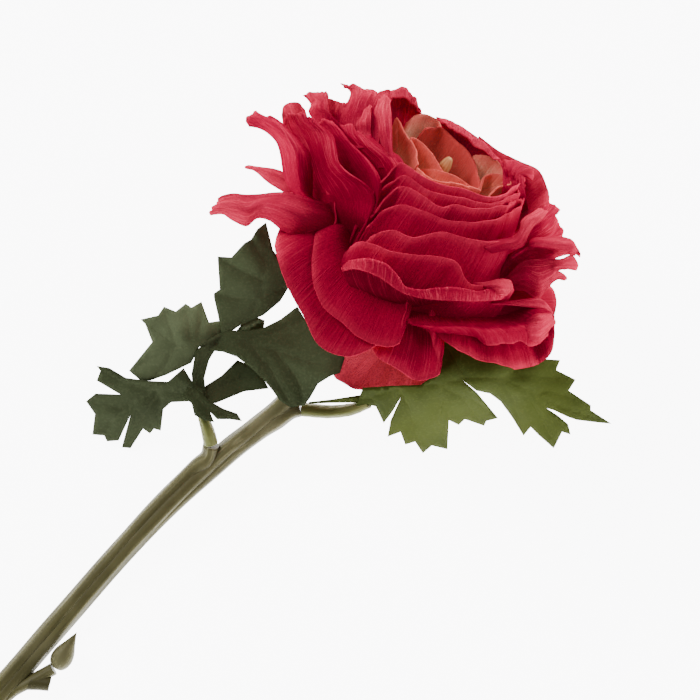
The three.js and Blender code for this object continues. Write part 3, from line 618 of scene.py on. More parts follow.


# tones below 0 are painted shade, and the high tones are partly painted light
STRAPS = [
    # the long petal that points left
    ([[(320, 244, 46), (334, 226, 56), (334, 206, 52)], [(300, 238, 60), (306, 220, 66), (308, 200, 61)],
      [(284, 232, 60), (288, 212, 66), (290, 194.5, 60)], [(271, 222, 57), (273, 208, 62), (275, 194, 57)],
      [(258, 219, 53), (261, 206, 58), (262, 195.5, 54)], [(247, 227, 50), (248, 212, 56), (248, 196, 52)],
      [(234, 222, 48), (236, 209, 54), (236, 195, 49)], [(224, 215, 47), (222, 207, 51), (225, 197, 48)],
      [(217, 213, 46), (209, 213, 45), (213, 209, 46), (216, 206.5, 47), (217, 203, 47), (220, 200, 47)]],
     dict(ruffle=0.5, waves=2.4, crumple=0.3, tone=0.75, crease=0.8)),
    # the thin one above it
    ([[(302, 202, 44), (312, 190, 44)], [(284, 192, 42), (288, 182, 45), (286, 174, 42)],
      [(268, 182, 40), (273, 175, 43), (274, 169, 40)], [(256, 171.5, 37), (258, 169, 39), (260, 167, 37)],
      [(247, 167.5, 35), (244.5, 166.5, 35), (248, 165.7, 35)]], dict(ruffle=0.2, tone=0.9)),
    # the tall one whose right edge is folded back
    ([[(326, 214, 46), (336, 204, 48)], [(298, 196, 50), (308, 197, 56), (314, 199, 52)],
      [(288, 185, 48), (301, 184, 57), (313, 186, 54)],
      [(283.5, 172, 47), (299, 170, 58), (312.5, 171, 55)],
      [(281, 156, 46), (297, 154, 58), (309, 156, 54)], [(277, 143, 45), (290, 141, 56), (301, 144, 52)],
      [(268, 133, 44), (279, 129, 53), (290, 131.5, 49)], [(259, 128, 43), (268, 121, 49), (280, 122, 47)],
      [(249, 127, 42), (246.5, 117.5, 41), (251, 115, 42), (255, 112.3, 44), (259, 115, 45), (265, 117, 46),
       (271, 116, 46)]], dict(ruffle=0.3, waves=2.0, crumple=0.25, tone=0.1, crease=0.5)),
    # the broad one with strong creases, its right edge free
    ([[(335, 262, 40), (350, 258, 44), (364, 254, 44)], [(333, 222, 52), (350, 222, 60), (367, 227, 66)],
      [(318, 203, 50), (344, 200, 61), (374, 203, 68)], [(311, 190, 49), (334, 185, 60), (367, 188, 68)],
      [(309, 178, 48), (328, 172, 59), (347, 174, 66)], [(306, 163, 48), (322, 158, 57), (338, 163, 63)],
      [(300, 150, 47), (318, 146, 55), (336, 150, 61)], [(292, 138, 45), (313, 133, 52), (333, 138, 57)],
      [(286, 126, 43), (304, 122, 49), (322, 128, 53)],
      [(286.5, 119, 43), (288, 114, 45), (295, 115, 47), (301, 113.5, 48), (309, 117.5, 49),
       (317, 123, 51)]],
     dict(ruffle=0.4, waves=3.4, crumple=0.34, tone=-0.4, crease=1.0)),
    # the dark one behind it with a turned rim
    ([[(352, 262, 40), (362, 258, 44), (370, 254, 46), (374, 252, 46)],
      [(356, 228, 52), (364, 228, 60), (371, 224, 66), (375, 222, 65)],
      [(360, 205, 52), (369, 204, 60), (375, 202, 67), (380, 203, 66)],
      [(350, 182, 52), (362, 180, 59), (374, 181, 67), (380, 183, 66)],
      [(338, 165, 50), (352, 165, 57), (366, 164, 65), (372, 168, 64.5)],
      [(332, 148, 48), (343, 151, 54), (355, 151, 62), (362, 157, 62)],
      [(326, 138, 46), (334, 141, 51), (343, 138, 58), (351, 147, 59)],
      [(320, 128, 45), (327, 129, 49), (333, 126, 54), (342, 135, 55)],
      [(318, 123, 45), (321, 122, 48), (324, 120, 50), (332, 124, 50)]],
     dict(ruffle=0.3, waves=2.6, crumple=0.22, tone=-0.2, crease=0.3)),
    # the skin of the cup's left side
    ([[(372, 250, 44), (392, 250, 46), (412, 246, 46)], [(378, 215, 55), (395, 212, 60), (412, 205, 60)],
      [(378, 190, 57), (394, 186, 62), (408, 180, 61)], [(370, 168, 56), (386, 163, 62), (400, 160, 60)],
      [(356, 150, 54), (370, 148, 59), (384, 151, 59)], [(344, 134, 51), (356, 136.5, 54), (372, 139, 56)],
      [(338, 124, 49), (345, 127, 50), (352, 125, 51), (356, 133, 53), (364, 136, 54), (371, 138, 55)]],
     dict(ruffle=0.3, waves=2.6, crumple=0.25, tone=0.1, crease=0.5)),
]
draped_piece("strap_petals", STRAPS, plan)

# %% [markdown]
# ## Tongues on the upper edge
# Small petals with split and pointed ends stand up behind the cup.  Their points could be
# cut from wider petals, but here the rim row simply runs out to each point and back.

# %% Tongues on the upper edge
TONGUES = [
    # a plain one at the left
    ([[(330, 150, 46), (350, 140, 46)], [(326, 122, 44), (345, 118, 45)], [(324, 108, 43), (346, 109, 44)],
      [(327, 98, 42), (334, 100.5, 42.5), (340, 102.5, 43), (345, 105, 43)]], dict(ruffle=0.3, tone=0.85)),
    # the one with a turned right edge and two points
    ([[(318, 135, 44), (330, 132, 47), (345, 131, 49)],
      [(313, 120, 43), (324, 116, 47), (335, 122, 49), (341, 126, 49)],
      [(309, 112, 42), (318, 108, 46), (327, 112, 48.5), (331, 117, 48)],
      [(311, 105, 42), (318, 101, 45), (325, 104, 48), (328, 110, 47)],
      [(307, 99, 41), (315, 97, 44), (322, 98, 46), (328, 102, 46)],
      [(303, 95.5, 40), (309, 93, 41.5), (316, 92.5, 43), (323, 93.5, 44), (326, 91.3, 44.5),
       (327.5, 95, 45),
       (328.5, 98, 45.5)]], dict(ruffle=0.3, crumple=0.3, tone=0.75)),
    # the wide one that ends in a thorn at its left
    ([[(342, 150, 50), (360, 150, 54), (378, 150, 56)],
      [(340, 122, 46), (352, 124, 50), (366, 126, 51), (380, 126, 52)],
      [(345, 108, 44), (353, 107, 47), (362, 108, 48.5), (388, 106, 48)],
      [(349.5, 98, 43), (355, 96, 45), (363, 98, 47), (391, 100, 46)],
      [(350, 91, 42), (354, 89.5, 43.5), (363, 92, 45), (392, 96, 44)],
      [(341, 83.3, 41), (348, 87, 42), (350, 85.8, 42.5), (356, 85.5, 43), (362, 88, 43.5), (365, 90, 43.5),
       (368, 90, 43.5), (373, 92.5, 43.5), (379, 92, 43.5), (385, 90.5, 43.5), (391, 93, 43)]],
     dict(ruffle=0.4, crumple=0.35, tone=0.75)),
    # two narrow pointed ones with sharp creases
    ([[(352, 150, 54), (362, 150, 57), (372, 148, 58)], [(355, 132, 51), (363, 135, 54), (371, 137, 55)],
      [(354.5, 124, 49), (363, 124, 53), (371, 122, 53)],
      [(360, 114, 47), (365.5, 114, 50.5), (371, 112, 50)],
      [(363, 110, 46), (366, 105.5, 47), (368, 103, 47), (370, 106, 48), (371, 109, 48)]],
     dict(ruffle=0.3, crumple=0.25, tone=0.85, crease=0.9)),
    ([[(378, 170, 60), (388, 170, 62), (396, 168, 62)], [(381, 147, 57), (387, 149, 60.5), (392, 153, 60)],
      [(378, 132, 54), (385, 134, 58.5), (391.5, 136, 58)],
      [(377, 122, 52), (384, 120, 56), (391, 120, 55.5)],
      [(374.5, 113, 50), (382, 109, 53), (390, 108, 52.5)],
      [(377, 106, 49), (380, 100.5, 49.5), (384.5, 97, 50), (388, 99, 50.5), (389.5, 104, 51)]],
     dict(ruffle=0.3, crumple=0.25, tone=0.85, crease=1.0)),
    # two far ones whose rims roll in over a dark face
    ([[(385, 250, 30), (395, 245, 30), (402, 240, 30)], [(394, 170, 31), (408, 160, 29), (422, 152, 28)],
      [(392, 130, 40), (406, 128, 32), (425, 124, 30)],
      [(391, 112, 40), (402, 108, 37), (422, 114, 35)],
      [(390.5, 101, 42), (397, 97, 41), (406, 98, 41), (421, 111, 41)],
      [(389, 95, 44), (394, 91, 44), (401, 87.5, 44), (408, 91, 44), (414, 98, 44), (420, 109, 43.5)],
      [(390.5, 101, 46), (396, 98.5, 46), (402, 98, 46), (407, 100, 45.5), (412, 104, 45),
       (420.5, 113, 44)]],
     dict(ruffle=0.3, crumple=0.25, tone=0.8)),
    ([[(392, 262, 28), (402, 262, 28), (412, 264, 28)], [(436, 190, 20), (452, 196, 20), (470, 205, 22)],
      [(445, 135, 30), (462, 145, 30), (485, 160, 32)],
      [(441, 123, 36), (452, 128, 36), (466, 138, 36.5), (482, 149, 38), (496, 160, 40)],
      [(436, 117.5, 36), (450, 120.5, 37), (458, 125, 37.5), (466, 130.5, 38), (472, 136, 38),
       (480, 139.5, 38.5),
       (487, 147, 40), (500, 160, 42)],
      [(441, 122.5, 38), (449, 127, 39), (458, 132, 39.5), (468, 139, 40), (474, 145, 40), (480, 149, 40.5),
       (486, 153, 41), (497, 160.5, 43)]], dict(ruffle=0.3, crumple=0.25, tone=0.8)),
]
draped_piece("tongue_petals", TONGUES, plan)

# %% [markdown]
# ## Petals that roll
# On the right the rims roll over into bands, claws and a turned-down lip.  A rolled edge
# could be a tube laid along the rim, but it would meet the petal at a seam, so the last rows
# of each sheet carry on over the top and down again.  These rows are marked by their
# distance from the calyx, because they follow the ball.

# %% Petals that roll
ROLLED = [
    # the upper right one, wide and creased
    ([[(505, 262, 38), (508, 252, 40), (512, 244, 41)], [(524, 250, 41), (526, 240, 43), (530, 228, 44)],
      [(536, 246, 42), (540, 232, 45), (540, 214, 46)], [(550, 242, 44), (551, 230, 45.5), (545, 206, 47)],
      [(560, 240, 44.5), (561.5, 234, 46), (563, 229, 46.5), (560, 223, 47), (556, 217, 47),
       (556.5, 213.5, 47.5),
       (559, 211, 48), (556.5, 207, 48), (554, 203.5, 47.5), (548, 202.5, 46.5)]],
     dict(ruffle=0.3, crumple=0.3, tone=0.3, crease=0.7)),
    # a pale band that ends a layer at its right
    ([[(480, 244, 44), (484, 250, 46), (490, 254, 45)], [(497, 241, 44.5), (500, 246, 47), (505, 251, 46)],
      [(512, 238, 45), (515, 242, 48.5), (521, 247, 47)],
      [(518.5, 230, 45.5), (522, 232, 49), (526, 237, 47)],
      [(521, 221, 46), (527, 223, 49.5), (532, 227, 48)],
      [(530, 214.5, 46.5), (535, 217, 50), (541, 220, 48.5)],
      [(538, 209, 47), (543, 211, 49), (547, 212, 48)]], dict(ruffle=0.2, tone=0.85)),
    # the upper claw: a dark face under a pale rim that rolls over it
    ([[(498, 284, 38), (500, 272, 40), (503, 264, 41), (507, 256, 42), (508, 258, 43), (508, 261, 42.5)],
      [(516, 272, 41), (518, 262, 42), (520, 255, 43), (523, 247, 46), (524, 248, 47), (524.5, 250, 46.5)],
      [(532, 268, 42), (533, 258, 43), (533, 248, 45), (532, 239.5, 48), (532, 243, 50),
       (532, 247.5, 49.5)],
      [(548, 261, 44), (548, 256, 45), (549, 247, 46), (549, 238, 49), (549, 243, 51), (550, 249, 50.5)],
      [(560, 256.3, 46), (561, 252, 46.5), (562, 247, 47.5), (563, 238, 50), (564, 244, 52),
       (563, 251, 51.5)],
      [(570, 253.7, 47.5), (571, 251, 48.5), (572, 247, 49.5), (572, 241, 51), (573, 247, 52.5),
       (571, 253, 52)],
      [(576, 254.5, 49), (577, 253, 50), (577.5, 251, 51), (577.5, 251.5, 52), (579, 255, 52.5),
       (580, 257, 51)]],
     dict(ruffle=0.15, crumple=0.12, tone=0.7)),
    # the lower claw with two points
    ([[(503, 292, 38), (503, 286, 40), (504, 279, 41)], [(514, 290.5, 40), (513, 282, 43), (512, 270, 43)],
      [(524, 291, 41), (524, 280, 45), (523, 261, 44.5)],
      [(537, 298, 41), (537, 285, 45.5), (536, 272, 46.5), (535, 259.3, 46)],
      [(545, 290, 43), (547, 279, 46.5), (548, 269, 47.5), (548, 259, 47.5)],
      [(553, 281, 45), (555, 275, 47), (557, 267, 48.5), (559, 259.5, 49)],
      [(555, 278.5, 45.5), (560, 279, 46), (568, 279.5, 46), (565, 275, 47), (560, 272, 47.5),
       (556, 270.5, 47.5),
       (559, 269, 48), (566, 268, 48.5), (572, 267.5, 49), (577, 270, 49.5), (577.5, 264, 50),
       (575, 258, 50.5),
       (573, 256, 50.5), (566, 258, 50)]], dict(ruffle=0.3, crumple=0.25, tone=0.7, crease=1.0)),
    # the far rim of the lower right cup
    ([[(486, 318, 39), (488, 308, 42), (490, 303, 44), (490, 304.5, 45)],
      [(505, 322, 39), (506, 310, 42), (507, 302, 45), (507, 305, 46)],
      [(522, 324, 40), (523, 312, 43), (524, 300, 46), (524, 307, 47)],
      [(534, 326, 40), (536, 316, 43), (538, 299, 46.5), (536, 309, 47.5)],
      [(543, 328, 41), (545, 318, 44), (545, 304.5, 47), (544, 311, 47.5)],
      [(550, 328, 42), (551, 321, 44.5), (550.5, 312, 46.5), (550, 316, 46.5)],
      [(553, 326, 43), (554, 323, 44.5), (554.5, 320, 45), (553, 321, 45.5)]],
     dict(ruffle=0.2, tone=0.75)),
    # the lower right cup with its near rim turned down, its low tone painted shade
    ([[(410, 292, 24), (440, 294, 24), (470, 295, 25), (500, 298, 27), (524, 303, 34)],
      [(408, 308, 31), (446, 307, 31), (478, 308, 33), (508, 310, 36), (536, 313, 41)],
      [(407, 322, 42.5), (430, 323.5, 43.5), (460, 323.5, 44), (485, 324, 44.5), (505, 322.5, 45),
       (518, 319, 46),
       (530, 311, 47.5), (545, 310.5, 47.5), (552, 315, 46.5)],
      [(415, 325.5, 42), (440, 328, 43), (465, 329, 43.5), (482, 333, 43.5), (500, 332, 44.5),
       (518, 331, 45.5),
       (532, 327, 47), (546, 322, 46.5), (554.5, 320, 45)],
      [(424, 328, 39), (436, 333, 39.5), (450, 335, 40), (464, 335, 40.5), (474, 338, 40.5), (482, 343, 41),
       (488, 345, 41.5), (495, 344.5, 42), (502, 342.5, 42.5), (510, 343, 43), (518, 341, 43.5),
       (523, 343, 44),
       (530, 346.5, 44.5), (537, 344, 44.5), (541, 339, 44.5), (548, 332, 44), (555, 323, 43.5)]],
     dict(ruffle=0.3, crumple=0.2, tone=-0.5, crease=0.3)),
    # a pale lobe turned over at that cup's right end, its high tone partly painted light
    ([[(512, 322, 43), (518, 328, 44), (524, 336, 43.5)],
      [(520, 315, 45.5), (528, 325, 48), (531, 341, 46)],
      [(531, 311, 47), (540, 320, 49.5), (538, 343.5, 46.5)],
      [(541, 310, 47), (548, 313, 47.5), (554, 321, 47), (549, 330, 47), (542, 338, 46.5)]],
     dict(ruffle=0.25, crumple=0.2, tone=0.75)),
    # the lowest layer, whose rim rolls over into a band
    ([[(380, 300, 34), (430, 310, 35), (480, 312, 36)],
      [(352, 288, 38), (400, 300, 38), (450, 306, 38), (490, 307, 40)],
      [(342, 270, 42), (350, 263, 44), (368, 261.5, 46), (386, 266, 47), (397, 277, 47), (404, 288, 46.5),
       (420, 291, 46.5), (436, 289, 47), (455, 289, 47.5), (475, 292, 47.5), (488, 290.5, 47.5),
       (502, 297, 46.5)],
      [(343.5, 272.5, 42.5), (352, 270, 45.5), (364, 272.5, 47), (378, 278, 47.5), (390, 286, 47.5),
       (400, 293, 47),
       (420, 299, 46.8), (440, 301, 47), (460, 301.5, 47.3), (478, 302, 47.3), (490, 301, 47.3),
       (501, 299, 46)]],
     dict(ruffle=0.3, waves=4, crumple=0.2, tone=0.35, crease=0.8)),
    # two that curl in at the right of the heart
    ([[(498, 205, 38), (514, 210, 39), (530, 214, 40)], [(502, 192, 41), (514, 195, 42), (526, 199, 43)],
      [(503, 178, 42.5), (512, 181, 43), (524, 187, 44)],
      [(502, 168, 43), (511, 171, 44.5), (524, 176, 45)],
      [(500, 161, 42.5), (508, 162, 44.5), (518, 163, 46), (528, 167, 46.5), (533, 173, 46.5),
       (532, 182, 46)]],
     dict(ruffle=0.3, crumple=0.3, roll=0.4, tone=0.45)),
    ([[(522, 215, 38), (534, 220, 38), (544, 222, 38)], [(528, 200, 41), (538, 203, 42), (548, 208, 42)],
      [(530, 186, 44), (538, 188, 45), (547, 194, 45.5)],
      [(530, 176, 45), (534, 172, 46), (541, 177, 47), (546, 184, 47.5), (550, 194, 47.5), (551, 203, 47)]],
     dict(ruffle=0.3, crumple=0.3, roll=0.4, tone=0.5)),
    # the pale lobe at the right end of the next layer
    ([[(468, 283, 44), (474, 286.5, 45), (482, 291.5, 44.5)],
      [(482, 283.3, 45.5), (486, 287, 47.5), (489, 292, 46.5)],
      [(495, 280.5, 46.5), (498, 287, 49), (497, 295, 48)],
      [(503, 279.5, 46.5), (508, 281.5, 47), (511, 287, 48), (508, 292, 48), (503, 296, 47.5)]],
     dict(ruffle=0.15, tone=0.85)),
]
draped_piece("rolled_petals", ROLLED, on_ball)

# %% [markdown]
# ## The round layers
# Under the shaped petals lie rings of broad round ones that are alike all round, and fill
# the bloom.  Drawing each by hand would add nothing that can be seen, so their rims are
# worked out on the ball, and a table lists the rings.

# %% The round layers
CORNER_DROP, CORNER_DRAW = 8, 0.22    # the rim's corners: degrees further out, share drawn in


def round_rim(turn, lean, r, half):
    """Seven marks on a ball of radius r, from turn - half to turn + half degrees about the axis.

    The angle from the axis is `lean` in the middle.  It grows and r shrinks with the cube of
    the way to a corner.
    """
    k = np.array([-1, -0.66, -0.33, 0, 0.33, 0.66, 1])
    phi = np.radians(turn + half * k)
    psi = np.radians(lean + CORNER_DROP * np.abs(k) ** 3)
    reach = r * (1 - CORNER_DRAW * np.abs(k) ** 3)
    return in_bloom(reach * np.sin(psi), phi, reach * np.cos(psi))


RINGS = [
    # first turn, turn to the next, lean, length of each petal in mm, half width, wave, shape
    (110, 70, 28, (43, 43, 43), 42, 0.0, dict(lean=62, flare=-20, ruffle=0.3)),
    (170, 60, 42, (44, 44), 42, 1.3, dict(lean=68, flare=-12, ruffle=0.5)),
    (122, 38, 71, (46, 46, 46, 36, 30), 30, 1.0, dict(lean=84, flare=-8)),
    (140, 38, 56, (44, 44, 44, 34), 30, 1.0, dict(lean=76, flare=-5)),
    # two short ones that close the far side
    (300, 0, 66, (31,), 32, 0.0, dict(lean=84, flare=-8)),
    (300, 0, 50, (35,), 32, 0.0, dict(lean=84, flare=-8)),
]
petal_piece("inner_petals", [(round_rim(first + between * i, lean, r, half), dict(shape, phase=wave * i))
                             for first, between, lean, lengths, half, wave, shape in RINGS
                             for i, r in enumerate(lengths)])

# %% [markdown]
# ## The heart
# The ochre petals stand inside the cup and show their inner faces.  They could be rings of
# equal petals like those above, but the heart is open and uneven, so they are drawn one by
# one.  Their rims are marked by the plan and by the height along the bloom's own axis, which
# keeps them level with the cup.

# %% The heart
HEART_ROOT = (2.4, 9.5)    # radius and height of the circle that they stand on, mm


def in_cup(x, y, h):
    """The point above plan (x, y) that lies h millimetres along the axis from the calyx."""
    low = plan(x, y, CALYX_HEIGHT)
    return low + [0, 0, (h * MM - (low - CALYX) @ AXIS) / AXIS[2]]


HEART = [
    # a pale one at the far side, its high tone partly painted light
    ([(404, 135, 33), (408, 122, 37.5), (415, 116, 39), (425, 114, 39.5), (434, 117, 39.5),
      (441, 123, 38.5),
      (440, 133, 34)], dict(flare=-10, tone=1.9)),
    # the dark one whose rim crosses the heart from the far side to the right, its low tone painted shade
    ([(417, 141, 34), (425, 129, 37.5), (434, 127, 38), (443, 128, 38), (455, 139, 38), (465, 147, 38),
      (472, 158, 37.5), (478, 174, 37), (480, 189, 35.5)], dict(flare=-20, tone=-1.0)),
    # two at the right end
    ([(472, 158, 36), (477, 155, 38.5), (487, 156, 40), (500, 163, 40), (507, 175, 40), (500, 184, 38),
      (484, 190, 34)], dict(flare=-14, tone=1.2)),
    ([(479, 193, 35), (484, 178, 37.5), (495, 174, 39), (505, 176, 40), (510, 183, 40), (498, 188, 39),
      (487, 196, 37.5)], dict(flare=-8, tone=0.4)),
    # two along the near side, one behind the other
    ([(417, 168, 36), (425, 177, 38.5), (436, 182, 39), (446, 184, 39.5), (458, 185, 39.5), (470, 188, 39),
      (480, 191, 38)], dict(flare=-12, tone=0.3)),
    ([(418, 170, 34), (432, 170, 36.5), (444, 173, 37.5), (457, 178, 38), (466, 184, 37.5), (475, 190, 36)],
     dict(flare=-20, tone=0.1)),
    # two at the left end
    ([(417, 167, 33), (416, 155, 36), (411, 139, 38), (418, 141, 38), (426, 147, 38), (434, 158, 37.5),
      (443, 172, 36.5)], dict(flare=-12, tone=0.1)),
    ([(399, 152, 34), (397, 135, 37), (396, 118, 39), (402, 128, 39), (409, 140, 38.5), (416, 152, 38),
      (418, 166, 37)], dict(flare=-10, tone=0.3)),
]
heart = [([in_cup(*p) for p in rim],
          dict(lean=42, ruffle=0.25, root=HEART_ROOT, spread=60, phase=0.9 * k, **shape))
         for k, (rim, shape) in enumerate(HEART)]
petal_piece("heart_petals", heart, HEART_SILK, "petals_heart")

# %% [markdown]
# ## Leaves
# A leaf is stamped from stiffened green cloth: a toothed outline, then a press that leaves
# shallow veins.  A grid can't follow such an outline, so each leaflet is its own outline cut
# into small triangles.  Its height comes from a few marks (x, y, z), between which it bends
# like a thin plate.  The third list of each leaflet holds its veins.

# %% Outlines, heights and veins of the leaflets
RIGHT_LEAF = [
    # the broad leaf with its long right lobe
    ([(356, 406), (363, 388), (391, 386), (421, 385), (439, 372), (441, 354), (442, 336), (466, 330),
      (492, 334), (506, 350), (545, 359), (562, 360), (558, 370), (578, 380), (571, 391), (594, 406),
      (594, 411), (616, 425), (604, 424), (580, 421), (571, 418), (556, 411), (549, 409), (560, 416),
      (571, 425), (574, 436), (565, 433), (557, 450), (541, 436), (533, 428), (526, 437), (514, 418),
      (502, 402), (491, 394), (477, 391), (464, 381), (478, 393), (500, 419), (488, 422), (486, 427),
      (466, 420), (460, 426), (450, 421), (449, 451), (433, 447), (424, 455), (416, 443), (406, 446),
      (401, 433), (388, 438), (391, 421), (401, 398), (393, 412), (384, 424), (376, 407), (372, 406)],
     [(357, 404, 20), (390, 390, 26), (421, 387, 29), (452, 380, 30), (470, 350, 31), (491, 378, 28),
      (530, 391, 22), (570, 406, 13), (616, 425, 0.5), (557, 450, 2.5), (525, 415, 14), (449, 451, 3),
      (424, 455, 3), (500, 419, 10), (388, 438, 10), (384, 424, 15), (560, 362, 20), (594, 406, 9),
      (440, 415, 19)],
     [[(345, 404), (372, 397), (400, 388), (440, 384), (468, 378), (500, 378), (526, 388), (565, 408),
       (616, 425)],
      [(440, 384), (442, 400), (440, 425), (449, 451)],
      [(400, 388), (412, 415), (424, 455)],
      [(400, 388), (392, 415), (388, 438)],
      [(372, 397), (380, 410), (384, 424)],
      [(440, 384), (465, 400), (486, 427)],
      [(450, 390), (478, 402), (500, 419)],
      [(500, 378), (530, 375), (578, 380)],
      [(500, 378), (535, 362), (562, 360)],
      [(526, 388), (545, 420), (557, 450)],
      [(535, 395), (560, 420), (574, 436)],
      [(526, 388), (570, 396), (594, 406)],
      [(500, 378), (515, 400), (526, 437)],
      [(468, 378), (455, 360), (442, 336)]]),
    # narrow green edge along the stalk
    ([(308, 402.5), (330, 400), (362, 395), (362, 403), (330, 403.5), (308, 404.5)],
     [(308, 403, 15.5), (330, 402, 17.5), (360, 400, 20.5)],
     [[(308, 403.5), (330, 402), (362, 399)]]),
]

LEFT_LEAF = [
    # upper leaflet, its tip under the bloom
    ([(221, 336), (217, 315), (213, 297), (213, 293), (219, 289), (217, 256), (231, 257), (244, 243),
      (251, 239), (257, 229), (266, 222), (273, 250), (284, 265), (288, 288), (280, 301), (263, 315),
      (240, 325), (228, 333)],
     [(222, 334, 22), (240, 322, 24), (264, 306, 27), (266, 284, 32), (264, 248, 36), (266, 222, 37),
      (215, 293, 27), (218, 258, 31), (286, 285, 29)],
     [[(221, 332), (250, 318), (258, 300), (264, 280), (266, 255), (264, 222)],
      [(258, 300), (235, 297), (213, 293)],
      [(264, 280), (240, 270), (217, 256)],
      [(266, 262), (258, 250), (251, 239)],
      [(258, 300), (275, 290), (288, 288)]]),
    # leaflet that points left
    ([(221, 336), (221, 320), (208, 322), (200, 301), (190, 307), (184, 303), (174, 311), (162, 306),
      (156, 315), (138, 319), (143, 324), (150, 342), (126, 371), (138, 381), (148, 381), (165, 375),
      (190, 363), (198, 347), (212, 341)],
     [(220, 332, 21.5), (206, 334, 22), (184, 341, 21), (156, 353, 16), (126, 371, 10), (200, 301, 17),
      (138, 319, 13), (162, 306, 15), (148, 381, 13), (190, 363, 18)],
     [[(220, 332), (200, 343), (185, 345), (165, 352), (126, 371)],
      [(196, 343), (200, 322), (200, 301)],
      [(175, 345), (168, 325), (162, 306)],
      [(175, 345), (155, 330), (138, 319)],
      [(190, 345), (188, 325), (184, 303)],
      [(170, 352), (165, 365), (148, 381)]]),
    # lower-left leaflet in three lobes
    ([(192, 384), (182, 368), (166, 382), (145, 381), (123, 378), (106, 368), (93, 366), (97, 371),
      (93, 381), (117, 395), (92, 394), (82, 402), (91, 415), (88, 436), (100, 437), (103, 443),
      (115, 442), (127, 417), (118, 449), (127, 450), (140, 430), (147, 435), (151, 430), (158, 432),
      (161, 410), (169, 403), (188, 402), (202, 401), (202, 390)],
     [(198, 395, 15.5), (166, 392, 13.5), (140, 388, 12), (117, 382, 9.5), (93, 366, 8),
      (140, 402, 10.5), (110, 418, 5.5), (88, 436, 0.5), (145, 420, 7.5), (122, 448, 1.5), (84, 402, 5),
      (156, 430, 5)],
     [[(198, 395), (166, 392), (140, 388), (117, 382), (93, 366)],
      [(150, 392), (115, 408), (82, 402)],
      [(150, 392), (112, 418), (88, 436)],
      [(155, 394), (135, 425), (122, 448)],
      [(158, 394), (155, 415), (158, 432)],
      [(112, 418), (100, 437)]]),
    # curled leaflet over the stalk's foot
    ([(180, 396), (186, 387), (198, 391), (208, 401), (222, 409), (236, 414), (241, 422), (229, 420),
      (216, 420), (209, 413), (213, 423), (203, 421), (193, 416), (190, 404)],
     [(184, 390, 16.5), (200, 400, 18.2), (210, 412, 18.3), (212, 422, 17.4), (196, 414, 17.4),
      (224, 415, 17.5), (241, 422, 15)],
     [[(186, 388), (200, 402), (212, 415), (212, 422)],
      [(204, 406), (225, 415), (241, 422)]]),
    # large leaflet under the bloom
    ([(203, 350), (214, 334), (228, 330), (245, 331), (262, 328), (280, 319), (297, 306), (310, 328),
      (332, 345), (345, 357), (340, 373), (331, 376), (318, 384), (310, 398), (304, 406), (290, 408),
      (279, 401), (272, 391), (263, 380), (250, 368), (236, 357), (222, 352)],
     [(205, 346, 20), (235, 342, 22.5), (268, 350, 24.5), (295, 375, 24.5), (304, 406, 22),
      (297, 310, 26), (345, 360, 29.5), (331, 372, 30), (280, 322, 25), (272, 388, 22)],
     [[(205, 344), (240, 342), (275, 350), (310, 362), (340, 365)],
      [(250, 344), (270, 370), (290, 405)],
      [(275, 350), (298, 380), (304, 406)],
      [(240, 342), (270, 335), (300, 322), (308, 312)]]),
    # leaflet behind it
    ([(202, 394), (204, 386), (220, 376), (236, 360), (250, 366), (262, 378), (268, 389), (243, 392),
      (214, 404), (203, 402)],
     [(203, 396, 15), (222, 384, 14), (243, 372, 13.5), (262, 382, 13), (240, 390, 12)],
     [[(203, 398), (230, 382), (262, 375)]]),
    # small leaflet at the top
    ([(224, 336), (236, 330), (242, 322), (254, 316), (264, 320), (263, 328), (254, 334), (238, 338)],
     [(228, 336, 21), (246, 328, 20), (262, 321, 18)],
     [[(224, 336), (246, 328), (262, 322)]]),
    # common stalk of the leaflets
    ([(192, 402), (190, 374), (194, 352), (212, 333), (224, 334), (208, 360), (203, 378), (205, 402)],
     [(199, 400, 15), (196, 376, 17.5), (201, 356, 20), (216, 336, 21.5)],
     [[(199, 400), (196, 376), (203, 356), (218, 335)]]),
]
print("leaflets:", len(RIGHT_LEAF) + len(LEFT_LEAF))

# %% [markdown]
# ## Cutting a leaflet into triangles
# The leaf cloth is thin and bends smoothly, with deep notches in its edge.  A flat face with
# a Solidify modifier would keep the outline but couldn't bend, because it has no points
# inside.  So the outline is divided finely, a hexagonal field of points fills it, and a
# constrained Delaunay triangulation joins them without crossing the outline.  The two faces
# lie a thickness apart, and a wall closes the edge.

# %% Distances and bending
def divided(loop, step):
    """Equal steps along each straight run: its length over `step`, rounded down, is their number."""
    runs = zip(loop, np.roll(loop, -1, axis=0))
    return np.concatenate([np.linspace(a, b, max(int(np.linalg.norm(b - a) / step), 1), endpoint=False)
                           for a, b in runs])


def inside(points, loop):
    """True where a ray to the right of the point crosses the loop an odd number of times."""
    a, b = loop[None], np.roll(loop, -1, axis=0)[None]
    x, y = points[:, None, 0], points[:, None, 1]
    crosses = (a[..., 1] > y) != (b[..., 1] > y)
    at = a[..., 0] + (y - a[..., 1]) * (b[..., 0] - a[..., 0]) / (b[..., 1] - a[..., 1] + 1e-12)
    return (crosses & (x < at)).sum(1) % 2 == 1


def gap_to(points, lines):
    """Distance to the nearest foot a + t (b - a) on some open lines, t held between 0 and 1."""
    best = np.full(len(points), 1e9)
    for line in lines:
        a, b = line[:-1][None], line[1:][None]
        along = ((points[:, None] - a) * (b - a)).sum(-1) / ((b - a) ** 2).sum(-1)
        foot = a + np.clip(along, 0, 1)[..., None] * (b - a)
        best = np.minimum(best, np.linalg.norm(points[:, None] - foot, axis=-1).min(1))
    return best


def on_plan(points):
    """Plan steps to millimetres from the plan's centre."""
    return np.array([((p[0] - PLAN_CENTRE[0]) * STEP, (PLAN_CENTRE[1] - p[1]) * STEP) for p in points])


